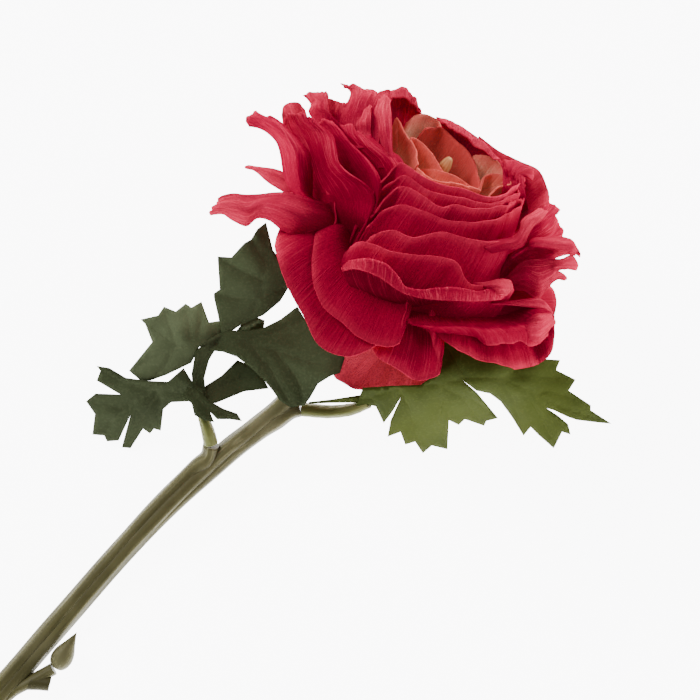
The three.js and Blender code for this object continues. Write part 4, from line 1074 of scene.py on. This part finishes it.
def plate(flat, spots, heights, slack=6.0):
    """Height of a thin plate bent through the marks: a plane plus the sum of w r^2 ln r."""
    def bend(p, q):
        r2 = ((p[:, None] - q[None]) ** 2).sum(-1)
        return 0.5 * r2 * np.log(r2 + 1e-9)

    n = len(spots)
    side = np.column_stack([np.ones(n), spots])
    system = np.block([[bend(spots, spots) + slack * np.eye(n), side], [side.T, np.zeros((3, 3))]])
    w = np.linalg.solve(system, np.concatenate([heights, np.zeros(3)]))
    smooth = bend(flat, spots) @ w[:n] + np.column_stack([np.ones(len(flat)), flat]) @ w[n:]
    return np.clip(smooth, heights.min() - 1, heights.max() + 1)


edge = on_plan(RIGHT_LEAF[0][0])
edge_length = np.linalg.norm(np.roll(edge, -1, axis=0) - edge, axis=1).sum()
print("the large leaf has an edge of", round(float(edge_length)), "mm")

# %% Leaf surface
LEAF_CLOTH = 0.55      # thickness of the stiffened cloth, mm
FIELD = 0.95           # spacing of the points inside, mm
ROW = FIELD * 0.866    # height of a triangle whose sides are FIELD, mm
JITTER = 0.12          # how far a point inside may be moved, mm
EDGE_STEP = 0.7        # spacing of the points on the outline, mm
CLEAR_OF_EDGE = 0.4    # how far the points inside stay from it, mm
VEIN_DEPTH, VEIN_WIDTH = 0.28, 0.55    # of the groove over a vein, mm
LEAF_WAVE = 0.22       # height of the slow waves in the cloth, mm
PUFF, PUFF_FROM_VEIN = 0.30, 3.0       # the cloth stands this much higher this far from a vein, mm
ON_TABLE = 0.09        # gap left over the table, mm


def add_leaflet(pieces, outline, marks, veins, tone):
    """Height: the plate, less a bell-shaped groove over each vein, plus waves and puffed fields."""
    loop = divided(on_plan(outline), EDGE_STEP)
    low, high = loop.min(0), loop.max(0)
    x, y = np.meshgrid(np.arange(low[0], high[0], FIELD), np.arange(low[1], high[1], ROW))
    x = x + np.where(np.arange(len(x)) % 2, FIELD / 2, 0)[:, None]
    field = np.stack([x.ravel(), y.ravel()], 1)
    field = field + rng.uniform(-JITTER, JITTER, field.shape)
    ring = np.concatenate([loop, loop[:1]])
    field = field[inside(field, loop) & (gap_to(field, [ring]) > CLEAR_OF_EDGE)]
    flat = np.concatenate([loop, field])
    n = len(loop)
    cut = delaunay_2d_cdt([Vector(p) for p in flat], [(k, (k + 1) % n) for k in range(n)], [], 1, 1e-6)
    flat, faces = np.array([tuple(v) for v in cut[0]]), np.array(cut[2])
    height = plate(flat, on_plan([m[:2] for m in marks]), np.array([m[2] for m in marks], float))
    vein = gap_to(flat, [on_plan(v) for v in veins])
    rim = gap_to(flat, [ring])
    wave = np.sin(flat[:, 0] * 0.62 + tone * 9) * np.sin(flat[:, 1] * 0.71 + tone * 5)
    height = height - VEIN_DEPTH * np.exp(-(vein / VEIN_WIDTH) ** 2)
    height = height + LEAF_WAVE * wave * np.clip(rim / 3, 0.2, 1)
    height = height + PUFF * np.clip(vein / PUFF_FROM_VEIN, 0, 1) ** 0.7
    height = np.maximum(height, LEAF_CLOTH / 2 + ON_TABLE)
    points = np.column_stack([flat, height]) - PART_MIDDLE
    a, b, c = [points[faces[:, k]] for k in range(3)]
    turned = np.cross(b - a, c - a)[:, 2] < 0
    faces[turned] = faces[turned][:, ::-1]
    lift = np.array([0, 0, LEAF_CLOTH / 2])
    both = np.concatenate([points + lift, points - lift]) * MM
    m = len(points)
    edges = np.concatenate([faces[:, [0, 1]], faces[:, [1, 2]], faces[:, [2, 0]]])
    key = edges.min(1) * m + edges.max(1)
    _, first, count = np.unique(key, return_index=True, return_counts=True)
    p, q = edges[first[count == 1]].T
    wall = np.stack([p, p + m, q + m, q], 1)
    pieces.add(both, [faces, faces[:, ::-1] + m], wall,
               vein=np.tile(vein, 2), rim=np.tile(rim, 2), tone=tone)


print("leaflets are", LEAF_CLOTH, "mm thick")

# %% [markdown]
# ## Two leaf cloths
# The left leaf is a dusty grey-green and the right one a brighter olive.  Both are matt and
# mottled, a little paler where the press has rubbed the veins, and darker at the cut edge.
# Painting the veins as lines would need a drawing on the leaf, so the cloth carries each
# point's distance from the nearest vein and from the rim, and the finish reads those.

# %% Leaf cloth
def leaf_cloth(name, dark, mid, light):
    """Dark and mid in slow clouds, light on specks and veins, dark again at the rim."""
    f = Finish(name, Specular_IOR_Level=0.03)
    vein, rim, tone = f.attribute("vein"), f.attribute("rim"), f.attribute("tone")
    place = f.place()
    cloud = f.noise(place, 45.0, 2.0, 0.5)
    speck = f.noise(place, 1500.0, 2.0, 0.6)
    weave = f.noise(place, 3200.0, 1.0)
    colour = f.mix(cloud.step(0.32, 0.68), dark, mid)
    colour = f.mix(speck.step(0.45, 0.75) * 0.22, colour, light)
    colour = f.mix(vein.step(0.08, 0.45, 0.12, 0.0), colour, light)
    colour = f.mix(rim.step(0.0, 0.5, 0.45, 0.0), colour, dark)
    colour = f.mix(tone * 0.35, colour, light)
    pressed = f.bump(vein.step(0.0, 0.6) * 0.5, 0.5, 0.0003)
    normal = f.bump(speck * 0.5 + weave * 0.5, 0.35, 0.00022, pressed)
    return f.paint(Base_Color=colour, Roughness=0.66 + cloud * 0.2, Normal=normal)


LEAF_BRIGHT = leaf_cloth("olive leaf cloth", dark=(0.026, 0.036, 0.004, 1), mid=(0.044, 0.056, 0.007, 1),
                         light=(0.085, 0.098, 0.022, 1))
LEAF_GREY = leaf_cloth("grey-green leaf cloth", dark=(0.023, 0.030, 0.012, 1),
                       mid=(0.040, 0.051, 0.023, 1), light=(0.095, 0.112, 0.058, 1))
LEAFLET_TONES = (0.15, 0.9, 0.35, 0.1, 0.0, 0.5, 0.6, 0.2)    # how pale each leaflet is
for name, leaf, material, node, slot in (
        ("leaf_right_cloth", RIGHT_LEAF, LEAF_BRIGHT, "leaf_right", "leaf_bright"),
        ("leaf_left_cloth", LEFT_LEAF, LEAF_GREY, "leaf_left", "leaf_grey")):
    pieces = Pieces()
    for (outline, marks, veins), tone in zip(leaf, LEAFLET_TONES):
        add_leaflet(pieces, outline, marks, veins, tone)
    pieces.make(name, material, node)

# %% [markdown]
# ## Sweeps and turned pieces
# The stem, the stalks, the bud and the knob are round in section.  A curve object with a
# bevel would give round tubes, but no grooves or collars.  A sweep is a ring of points
# carried along a smooth path, with its radius given at a few places, and `section` makes the
# ring uneven.  A lathe turns a profile about an axis, and `uneven` gives it lobes.

# %% Sweeps
ROUND_SPAN = 2.0       # `across` runs from this at one side of a tube to minus this at the other


def sweep(path, radii, sides, steps, section):
    """p + r(s) k(s, a) (side cos a + up sin a); side is level, up completes the frame."""
    p, length = through(path, steps)
    s = np.linspace(0, 1, steps)
    r = np.interp(s, np.linspace(0, 1, len(radii)), radii) * MM
    tangent = np.gradient(p, axis=0)
    tangent = tangent / np.linalg.norm(tangent, axis=1, keepdims=True)
    side = np.cross([0, 0, 1.0], tangent)
    side = side / np.linalg.norm(side, axis=1, keepdims=True)
    up = np.cross(tangent, side)
    a = np.linspace(0, 2 * np.pi, sides, endpoint=False)
    k = section(s[:, None], a[None])
    round_it = np.cos(a)[None, :, None] * side[:, None] + np.sin(a)[None, :, None] * up[:, None]
    rings = p[:, None] + (r[:, None] * k)[..., None] * round_it
    points = np.concatenate([rings.reshape(-1, 3), p[:1], p[-1:]])
    j, i = np.mgrid[0:steps - 1, 0:sides]
    here, there = (j * sides + i).ravel(), (j * sides + (i + 1) % sides).ravel()
    skin = np.stack([here, there, there + sides, here + sides], 1)
    i = np.arange(sides)
    last = (steps - 1) * sides
    end = steps * sides
    caps = np.concatenate([np.stack([np.full(sides, end), (i + 1) % sides, i], 1),
                           np.stack([np.full(sides, end + 1), last + i, last + (i + 1) % sides], 1)])
    along = np.concatenate([np.repeat(s * length / MM, sides), [0, length / MM]])
    across = np.concatenate([np.tile(np.sin(a) * ROUND_SPAN, steps), [0, 0]])
    return points, skin, caps, dict(along=along, across=across)


print("sweeps are ready")

# %% Turned pieces
def lathe(profile, base, axis, sides=40, uneven=None):
    """base + r k(h, a) (side cos a + up sin a) + h axis, for a profile of [r, h] in mm."""
    r, h = np.array(profile, float).T
    axis = np.asarray(axis, float) / np.linalg.norm(axis)
    side = np.cross(axis, [0.0, 0.0, 1.0])
    side = side / np.linalg.norm(side)
    up = np.cross(side, axis)
    a = np.linspace(0, 2 * np.pi, sides, endpoint=False)
    k = np.ones((len(r) - 2, sides)) if uneven is None else uneven(h[1:-1, None], a[None])
    round_it = np.cos(a)[None, :, None] * side + np.sin(a)[None, :, None] * up
    ring = base + MM * r[1:-1, None, None] * k[..., None] * round_it + MM * h[1:-1, None, None] * axis
    points = np.concatenate([ring.reshape(-1, 3), [base + MM * h[0] * axis], [base + MM * h[-1] * axis]])
    n = len(r) - 2
    j, i = np.mgrid[0:n - 1, 0:sides]
    here, there = (j * sides + i).ravel(), (j * sides + (i + 1) % sides).ravel()
    skin = np.stack([here, here + sides, there + sides, there], 1)
    i = np.arange(sides)
    last = (n - 1) * sides
    end = n * sides
    caps = np.concatenate([np.stack([np.full(sides, end), i, (i + 1) % sides], 1),
                           np.stack([np.full(sides, end + 1), last + (i + 1) % sides, last + i], 1)])
    along = np.concatenate([np.repeat(h[1:-1], sides), [h[0], h[-1]]])
    across = np.concatenate([np.tile(np.sin(a) * ROUND_SPAN, n), [0, 0]])
    return points, skin, caps, dict(along=along, across=across)


def smooth_profile(marks, n=40):
    """A curve through a few [radius, height] marks; its two ends stay on the axis."""
    flat = np.column_stack([np.array(marks, float), np.zeros(len(marks))])
    curve = through(flat, n)[0][:, :2]
    curve[:, 0] = np.maximum(curve[:, 0], 0.01)
    return curve


print("turned pieces are ready")

# %% [markdown]
# ## Moulded plastic
# The stem is olive plastic with a browner wash along it.  The stalks that hold the leaves
# are a paler yellow-green, and the knob in the heart is ochre.  Fine lines run along them,
# left by the mould.  They could be cut into the mesh, but they are thinner than its faces,
# so a noise that is stretched along the piece draws them in colour and bump, and its
# thinnest pale lines are painted highlights.  The plastic is nearly matt, and painted shade
# darkens its lower side and flanks, or the pale table would shine in them.

# %% Plastic finishes
LINE_DEPTH = 0.0004    # of the bump of the mould's lines, metres


def moulded(name, dark, mid, light, roughness=0.36):
    """Dark to mid in long streaks, light in clouds, thin pale lines as painted highlights, and painted
    shade over the lower side and flanks.
    """
    f = Finish(name, Specular_IOR_Level=0.12)
    across, along = f.attribute("across"), f.attribute("along")
    streak = f.noise(f.vector(across * 2.2, along * 0.045), 1.0, 3.0, 0.6)
    cloud = f.noise(f.place(), 60.0, 3.0)
    grain = f.noise(f.place(), 1100.0, 2.0)
    colour = f.mix(streak.step(0.35, 0.65, 0.45, 1.0), dark, mid)
    colour = f.mix(cloud.step(0.4, 0.75) * 0.4, colour, light)
    # thin pale lines: painted highlights along the piece
    colour = f.mix(streak.step(0.58, 0.66) * 0.5, colour, light)
    # painted shade: darker except along the top, where `across` is high
    colour = f.mix(across.step(0.1, 1.3, 0.75, 0.0), colour, dark)
    normal = f.bump(streak * 0.8 + grain * 0.2, 0.4, LINE_DEPTH)
    return f.paint(Base_Color=colour, Roughness=roughness + cloud * 0.18, Normal=normal)


STEM_PLASTIC = moulded("olive stem plastic", dark=(0.042, 0.038, 0.014, 1), mid=(0.112, 0.104, 0.042, 1),
                       light=(0.24, 0.225, 0.12, 1))
STALK_PLASTIC = moulded("pale stalk plastic", dark=(0.075, 0.085, 0.018, 1), mid=(0.17, 0.18, 0.055, 1),
                        light=(0.32, 0.31, 0.14, 1), roughness=0.42)
KNOB_PLASTIC = moulded("heart knob plastic", dark=(0.30, 0.13, 0.045, 1), mid=(0.46, 0.22, 0.085, 1),
                       light=(0.60, 0.34, 0.16, 1), roughness=0.7)
print("plastic finishes:", STEM_PLASTIC.name, STALK_PLASTIC.name, KNOB_PLASTIC.name)

# %% [markdown]
# ## The stem
# Three strands run side by side from the cut end at the lower left.  The left one ends in a
# socket for the left leaf, the right one in a socket for the right leaf, and the middle one
# climbs to the calyx.  A short shoot with a bract and a bud leaves the bundle near its foot.
# One thick tube with grooves would look alike from above, but each strand leaves the bundle
# at its own place, so each is a sweep of its own along a line beside the common one.

# %% Lines of the stem
STEM_R, STRAND_R = 2.3, 1.9    # radius of the middle strand and of the left one, mm
RIGHT_R = 1.5                  # radius of the right one, mm
STEM_LINE = np.array([(-130, 838, 2.8), (0, 690, 3.6), (130, 540, 5.5), (215, 460, 8.5), (252, 430, 11)],
                     float)
SIDEWAYS = (0.72, 0.69)        # the plan direction at a right angle to the bundle


def beside(line, side, lift=0.0):
    """The line moved `side` steps sideways on the plan and raised by `lift` mm."""
    return plan(line[:, 0] + side * SIDEWAYS[0], line[:, 1] + side * SIDEWAYS[1], line[:, 2] + lift)


def grooved(s, a):
    """1 plus three shallow lobes, seven shallower ones that twist with s, and faint rings."""
    return 1 + 0.035 * np.cos(3 * a + 1.0) + 0.02 * np.cos(7 * a + 9 * s) + 0.012 * np.sin(40 * s + 2 * a)


def swollen_end(s, a):
    """Grooves, and a collar that swells by a bell curve over the last few millimetres."""
    return grooved(s, a) * (1 + 0.22 * np.exp(-((s - 0.955) / 0.022) ** 2))


MAIN = np.concatenate([beside(STEM_LINE[:3], 3), beside(STEM_LINE[3:], 0),
                       [plan(285, 402, 13.5), plan(318, 358, 17), plan(344, 318, 22.5),
                        CALYX - 0.002 * AXIS]])
LEFT = np.concatenate([beside(STEM_LINE[:3], -4.5, 0.8),
                       [plan(184, 478, 7.9), plan(205, 461, 9.2), plan(209.5, 446, 11)]])
RIGHT = np.concatenate([beside(STEM_LINE[:4], 7, -0.3),
                        [plan(258, 434, 11), plan(286, 414, 12.5), plan(300, 409, 13)]])
SHOOT = [plan(-40, 744, 3.4), plan(0, 702, 3.6), plan(27, 686, 4.2), plan(49, 673.6, 5)]
print("strands:", [len(line) for line in (MAIN, LEFT, RIGHT, SHOOT)], "marks")

# %% The stem
stem = Pieces()
for path, radii, steps, section in (
        (MAIN, [STEM_R, STEM_R, STEM_R, STEM_R, 2.3, 2.3, 2.4], 200, grooved),
        (LEFT, [STRAND_R, STRAND_R, STRAND_R, 1.6, 1.9], 160, swollen_end),
        (RIGHT, [RIGHT_R, RIGHT_R, RIGHT_R, 1.7, 1.7, 1.9], 180, swollen_end),
        (SHOOT, [1.6, 1.8, 1.5, 1.5], 60, grooved)):
    points, skin, caps, values = sweep(path, radii, 32, steps, section)
    stem.add(points, skin, caps, **values)

# the bract: straight lines between three pairs of marks, crowned by a sine across it
BRACT = np.array([[plan(19, 694, 4.4), plan(31, 680, 4.6)], [plan(33, 694, 4.6), plan(39, 682, 4.8)],
                  [plan(44, 695, 4.8), plan(47, 683, 5)]])
CROWN, BRACT_THICKNESS = 0.9, 0.8    # mm
v = np.linspace(0, 1, 13)[:, None, None]
pairs = np.where(v < 0.5, BRACT[0] + (BRACT[1] - BRACT[0]) * 2 * v,
                 BRACT[1] + (BRACT[2] - BRACT[1]) * (2 * v - 1))
w = np.linspace(0, 1, 9)[None, :, None]
bract = pairs[:, :1] * (1 - w) + pairs[:, 1:] * w + [0, 0, CROWN * MM] * np.sin(np.pi * w)
points, skin, wall = cloth(bract, BRACT_THICKNESS)
stem.add(points, skin, wall, along=0.0, across=0.0)

# the foot of the bloom, turned about its axis
FOOT = [[0, -6], [2.1, -6], [2.6, -3], [3.3, -1.2], [3.4, -0.2], [2.6, 0], [0, 0]]
points, skin, caps, values = lathe(smooth_profile(FOOT, 30), CALYX, AXIS)
stem.add(points, skin, caps, **values)
stem.make("moulded_stem", STEM_PLASTIC, "stem")

# %% [markdown]
# ## Stalks and bud
# Each leaf hangs on a pale stalk that is plugged into a collar of the stem, and a closed bud
# sits on the shoot.  The stalks could be part of the stem, but they are another plastic, so
# they are sweeps of their own that thin towards the leaf.  The bud is turned from a profile
# of radii along its length, and a few soft lobes stand for its closed scales.

# %% Stalks and bud
RIGHT_STALK = [plan(302.2, 410.4, 13.1), plan(328, 412.3, 14.8), plan(350, 410.4, 17.2),
               plan(369, 404, 19.8)]
LEFT_STALK = [plan(209.2, 444.3, 11.6), plan(206, 431, 13.2), plan(202, 418, 14.1),
              plan(200, 405.5, 14.7)]
one_piece("stalk_right_moulded", sweep(RIGHT_STALK, [1.65, 1.6, 1.5, 1.1], 28, 70, grooved),
          STALK_PLASTIC, "stalk_right", "stalk")
one_piece("stalk_left_moulded", sweep(LEFT_STALK, [1.7, 1.6, 1.3, 1.1], 28, 60, grooved),
          STALK_PLASTIC, "stalk_left", "stalk")

BUD_BASE, BUD_TIP = plan(51.6, 672.6, 5.2), plan(73, 636, 7)
BUD_LENGTH = float(np.linalg.norm(BUD_TIP - BUD_BASE)) / MM
BUD = [(0, 0), (1.3, 0.01), (2.2, 0.12), (2.55, 0.28), (2.2, 0.48), (1.3, 0.68), (0.55, 0.86), (0, 1)]


def scales(h, a):
    """1 plus rounded lobes, the 0.6th power of a sine that twists with the height."""
    return 1 + 0.07 * np.abs(np.sin(1.5 * a + 0.25 * h)) ** 0.6 - 0.03


bud_profile = smooth_profile([[r, part * BUD_LENGTH] for r, part in BUD], 48)
one_piece("closed_bud", lathe(bud_profile, BUD_BASE, BUD_TIP - BUD_BASE, 40, scales),
          STEM_PLASTIC, "bud", "stem")

# %% [markdown]
# ## Calyx
# Five green sepals of leaf cloth bend back under the bloom from a small ring.  They could be
# cut like the leaves, but a sepal is a plain tongue, so it is a small grid, and the five are
# turned about the axis.

# %% Calyx
SEPALS, SEPAL_TURN, FIRST_SEPAL = 5, 60, 140    # how many, and degrees about the axis
SEPAL_FOOT, SEPAL_LENGTH = 4.2, 7.5             # from the axis, and outwards, mm
SEPAL_HALF, SEPAL_TIP = 3.2, 0.35               # half width at the foot, and what is left at the tip, mm
calyx = Pieces()
# s runs out along a sepal and k across it: the width falls with s^2.2, and the sepal bends
# back by 4.2 s^0.8 mm and is hollow like a shallow V
s, k = np.linspace(0, 1, 25)[:, None], np.linspace(-1, 1, 13)[None, :]
for i in range(SEPALS):
    turn = math.radians(FIRST_SEPAL + SEPAL_TURN * i)
    out = math.cos(turn) * UP + math.sin(turn) * SIDE
    beside_it = -math.sin(turn) * UP + math.cos(turn) * SIDE
    half = SEPAL_HALF * (1 - s ** 2.2) + SEPAL_TIP
    back = -2.5 - 4.2 * s ** 0.8 + 0.6 * np.abs(k)
    grid = CALYX + MM * ((SEPAL_FOOT + SEPAL_LENGTH * s)[..., None] * out + back[..., None] * AXIS
                         + (k * half)[..., None] * beside_it)
    points, skin, wall = cloth(grid, LEAF_CLOTH)
    calyx.add(points, skin, wall, vein=np.tile(np.abs(k * half).ravel(), 2),
              rim=np.tile(((1 - np.abs(k)) * half).ravel(), 2), tone=0.2 + 0.1 * i)
RING = [[0.01, -3.9], [3.6, -3.9], [4.6, -3.8], [5.1, -2.2], [4.6, -1.5], [3.5, -1.45], [0.01, -1.45]]
points, skin, caps, _ = lathe(smooth_profile(RING, 40), CALYX, AXIS)
calyx.add(points, skin, caps, vein=3.0, rim=3.0, tone=0.3)
calyx.make("calyx_cloth", LEAF_BRIGHT, "calyx")

# %% [markdown]
# ## Petal claws and heart knob
# Every petal narrows to a claw, and all the claws are glued to the foot in one tight knot.
# Each petal could be drawn down to a point there, but they would cut through one another, so
# one turned piece of crimson silk with shallow folds stands for the knot.  A moulded knob
# rises from it and ends in the heart, almost hidden by the ochre petals.

# %% Petal claws and heart knob
CLAWS = [[0, 0.4], [3.0, 0.4], [3.9, -0.1], [4.3, -1.0], [4.8, -0.9], [5.1, 1.0], [5.0, 3.0], [4.2, 5.2],
         [2.5, 6], [0, 6]]
claws = lathe(smooth_profile(CLAWS, 48), CALYX, AXIS, 48, lambda h, a: 1 + 0.05 * np.sin(9 * a))
# a tone of -0.4 paints shade on the knot
one_piece("petal_claws", claws, RED_SILK, "petals_red", "petal_red",
          across=claws[3]["across"], along=0.1, tone=-0.4, crease=0.3)

KNOB = [[0, 11.3], [1.1, 11.3], [0.95, 20], [0.9, 31], [1.45, 34], [1.3, 36.5], [0.7, 38], [0, 38.2]]
KNOB_HEAD = 31         # height at which its nine lobes begin, mm
knob = lathe(smooth_profile(KNOB, 60), CALYX, AXIS, 32,
             lambda h, a: 1 + 0.06 * np.sin(9 * a) * (h > KNOB_HEAD))
one_piece("heart_knob", knob, KNOB_PLASTIC, "pistil", "pistil")

# %% [markdown]
# ## Table and room
# The flower lies on a plain pale table.  A white floor under studio light comes out grey
# beside red silk, so the table also glows a little, as a light table does, and the world is
# an even pale room.

# %% Table and room
TABLE_SIDE = 3.0       # m
TABLE_GLOW, ROOM_LIGHT = 9.0, 0.33
half_side = TABLE_SIDE / 2
table_mesh = bpy.data.meshes.new("table")
table_mesh.from_pydata([(-half_side, -half_side, 0), (half_side, -half_side, 0),
                        (half_side, half_side, 0), (-half_side, half_side, 0)], [], [(0, 1, 2, 3)])
table = bpy.data.objects.new("table", table_mesh)
bpy.context.scene.collection.objects.link(table)
matt = Finish("pale table", Base_Color=(0.93, 0.93, 0.94, 1), Roughness=0.9, Specular_IOR_Level=0.1,
              Emission_Color=(0.99, 0.99, 1.0, 1), Emission_Strength=TABLE_GLOW)
table_mesh.materials.append(matt.material)

world = bpy.data.worlds.new("room")
bpy.context.scene.world = world
world.use_nodes = True
background = world.node_tree.nodes["Background"]
background.inputs["Color"].default_value = (0.97, 0.98, 1.0, 1)
background.inputs["Strength"].default_value = ROOM_LIGHT
print("the table is", TABLE_SIDE, "m wide")

# %% [markdown]
# ## Lights and camera
# Three round area lights could be replaced by one bright room, but the folds of the silk
# would look flat.  The key light comes from the upper left, a weaker fill from the right and
# a faint one from the near side.  The camera looks straight down from far away, so that the
# plan isn't distorted, and its lens is worked out from the width of the plan.

# %% Lights and camera
LIGHTS = [
    # name, place in m, diameter in m, power in W
    ("key", (-0.8, 0.85, 1.15), 0.6, 21),
    ("fill", (1.1, 0.3, 1.0), 0.8, 5.5),
    ("front", (-0.2, -1.3, 0.7), 0.8, 4),
]
AIM = Vector((0.02, 0.02, 0.03))
for name, place, diameter, power in LIGHTS:
    light = bpy.data.lights.new(name, "AREA")
    light.shape, light.size, light.energy = "DISK", diameter, power
    lamp = bpy.data.objects.new(name, light)
    lamp.location = place
    lamp.rotation_euler = (AIM - Vector(place)).to_track_quat("-Z", "Y").to_euler()
    bpy.context.scene.collection.objects.link(lamp)

CAMERA_HEIGHT = 2.4    # above the table, m
VIEW_HEIGHT = 2.36     # from the camera to the level that fills the frame, m
PLAN_WIDTH = 700 * STEP
SENSOR = 36.0          # mm
camera_data = bpy.data.cameras.new("camera")
camera_data.sensor_width = SENSOR
camera_data.lens = SENSOR * VIEW_HEIGHT * 1000 / PLAN_WIDTH
camera_data.clip_end = 20
camera = bpy.data.objects.new("camera", camera_data)
camera.location = (*plan(*PLAN_CENTRE, 0)[:2], CAMERA_HEIGHT)
bpy.context.scene.collection.objects.link(camera)
bpy.context.scene.camera = camera
print("the frame is", round(PLAN_WIDTH, 1), "mm wide")
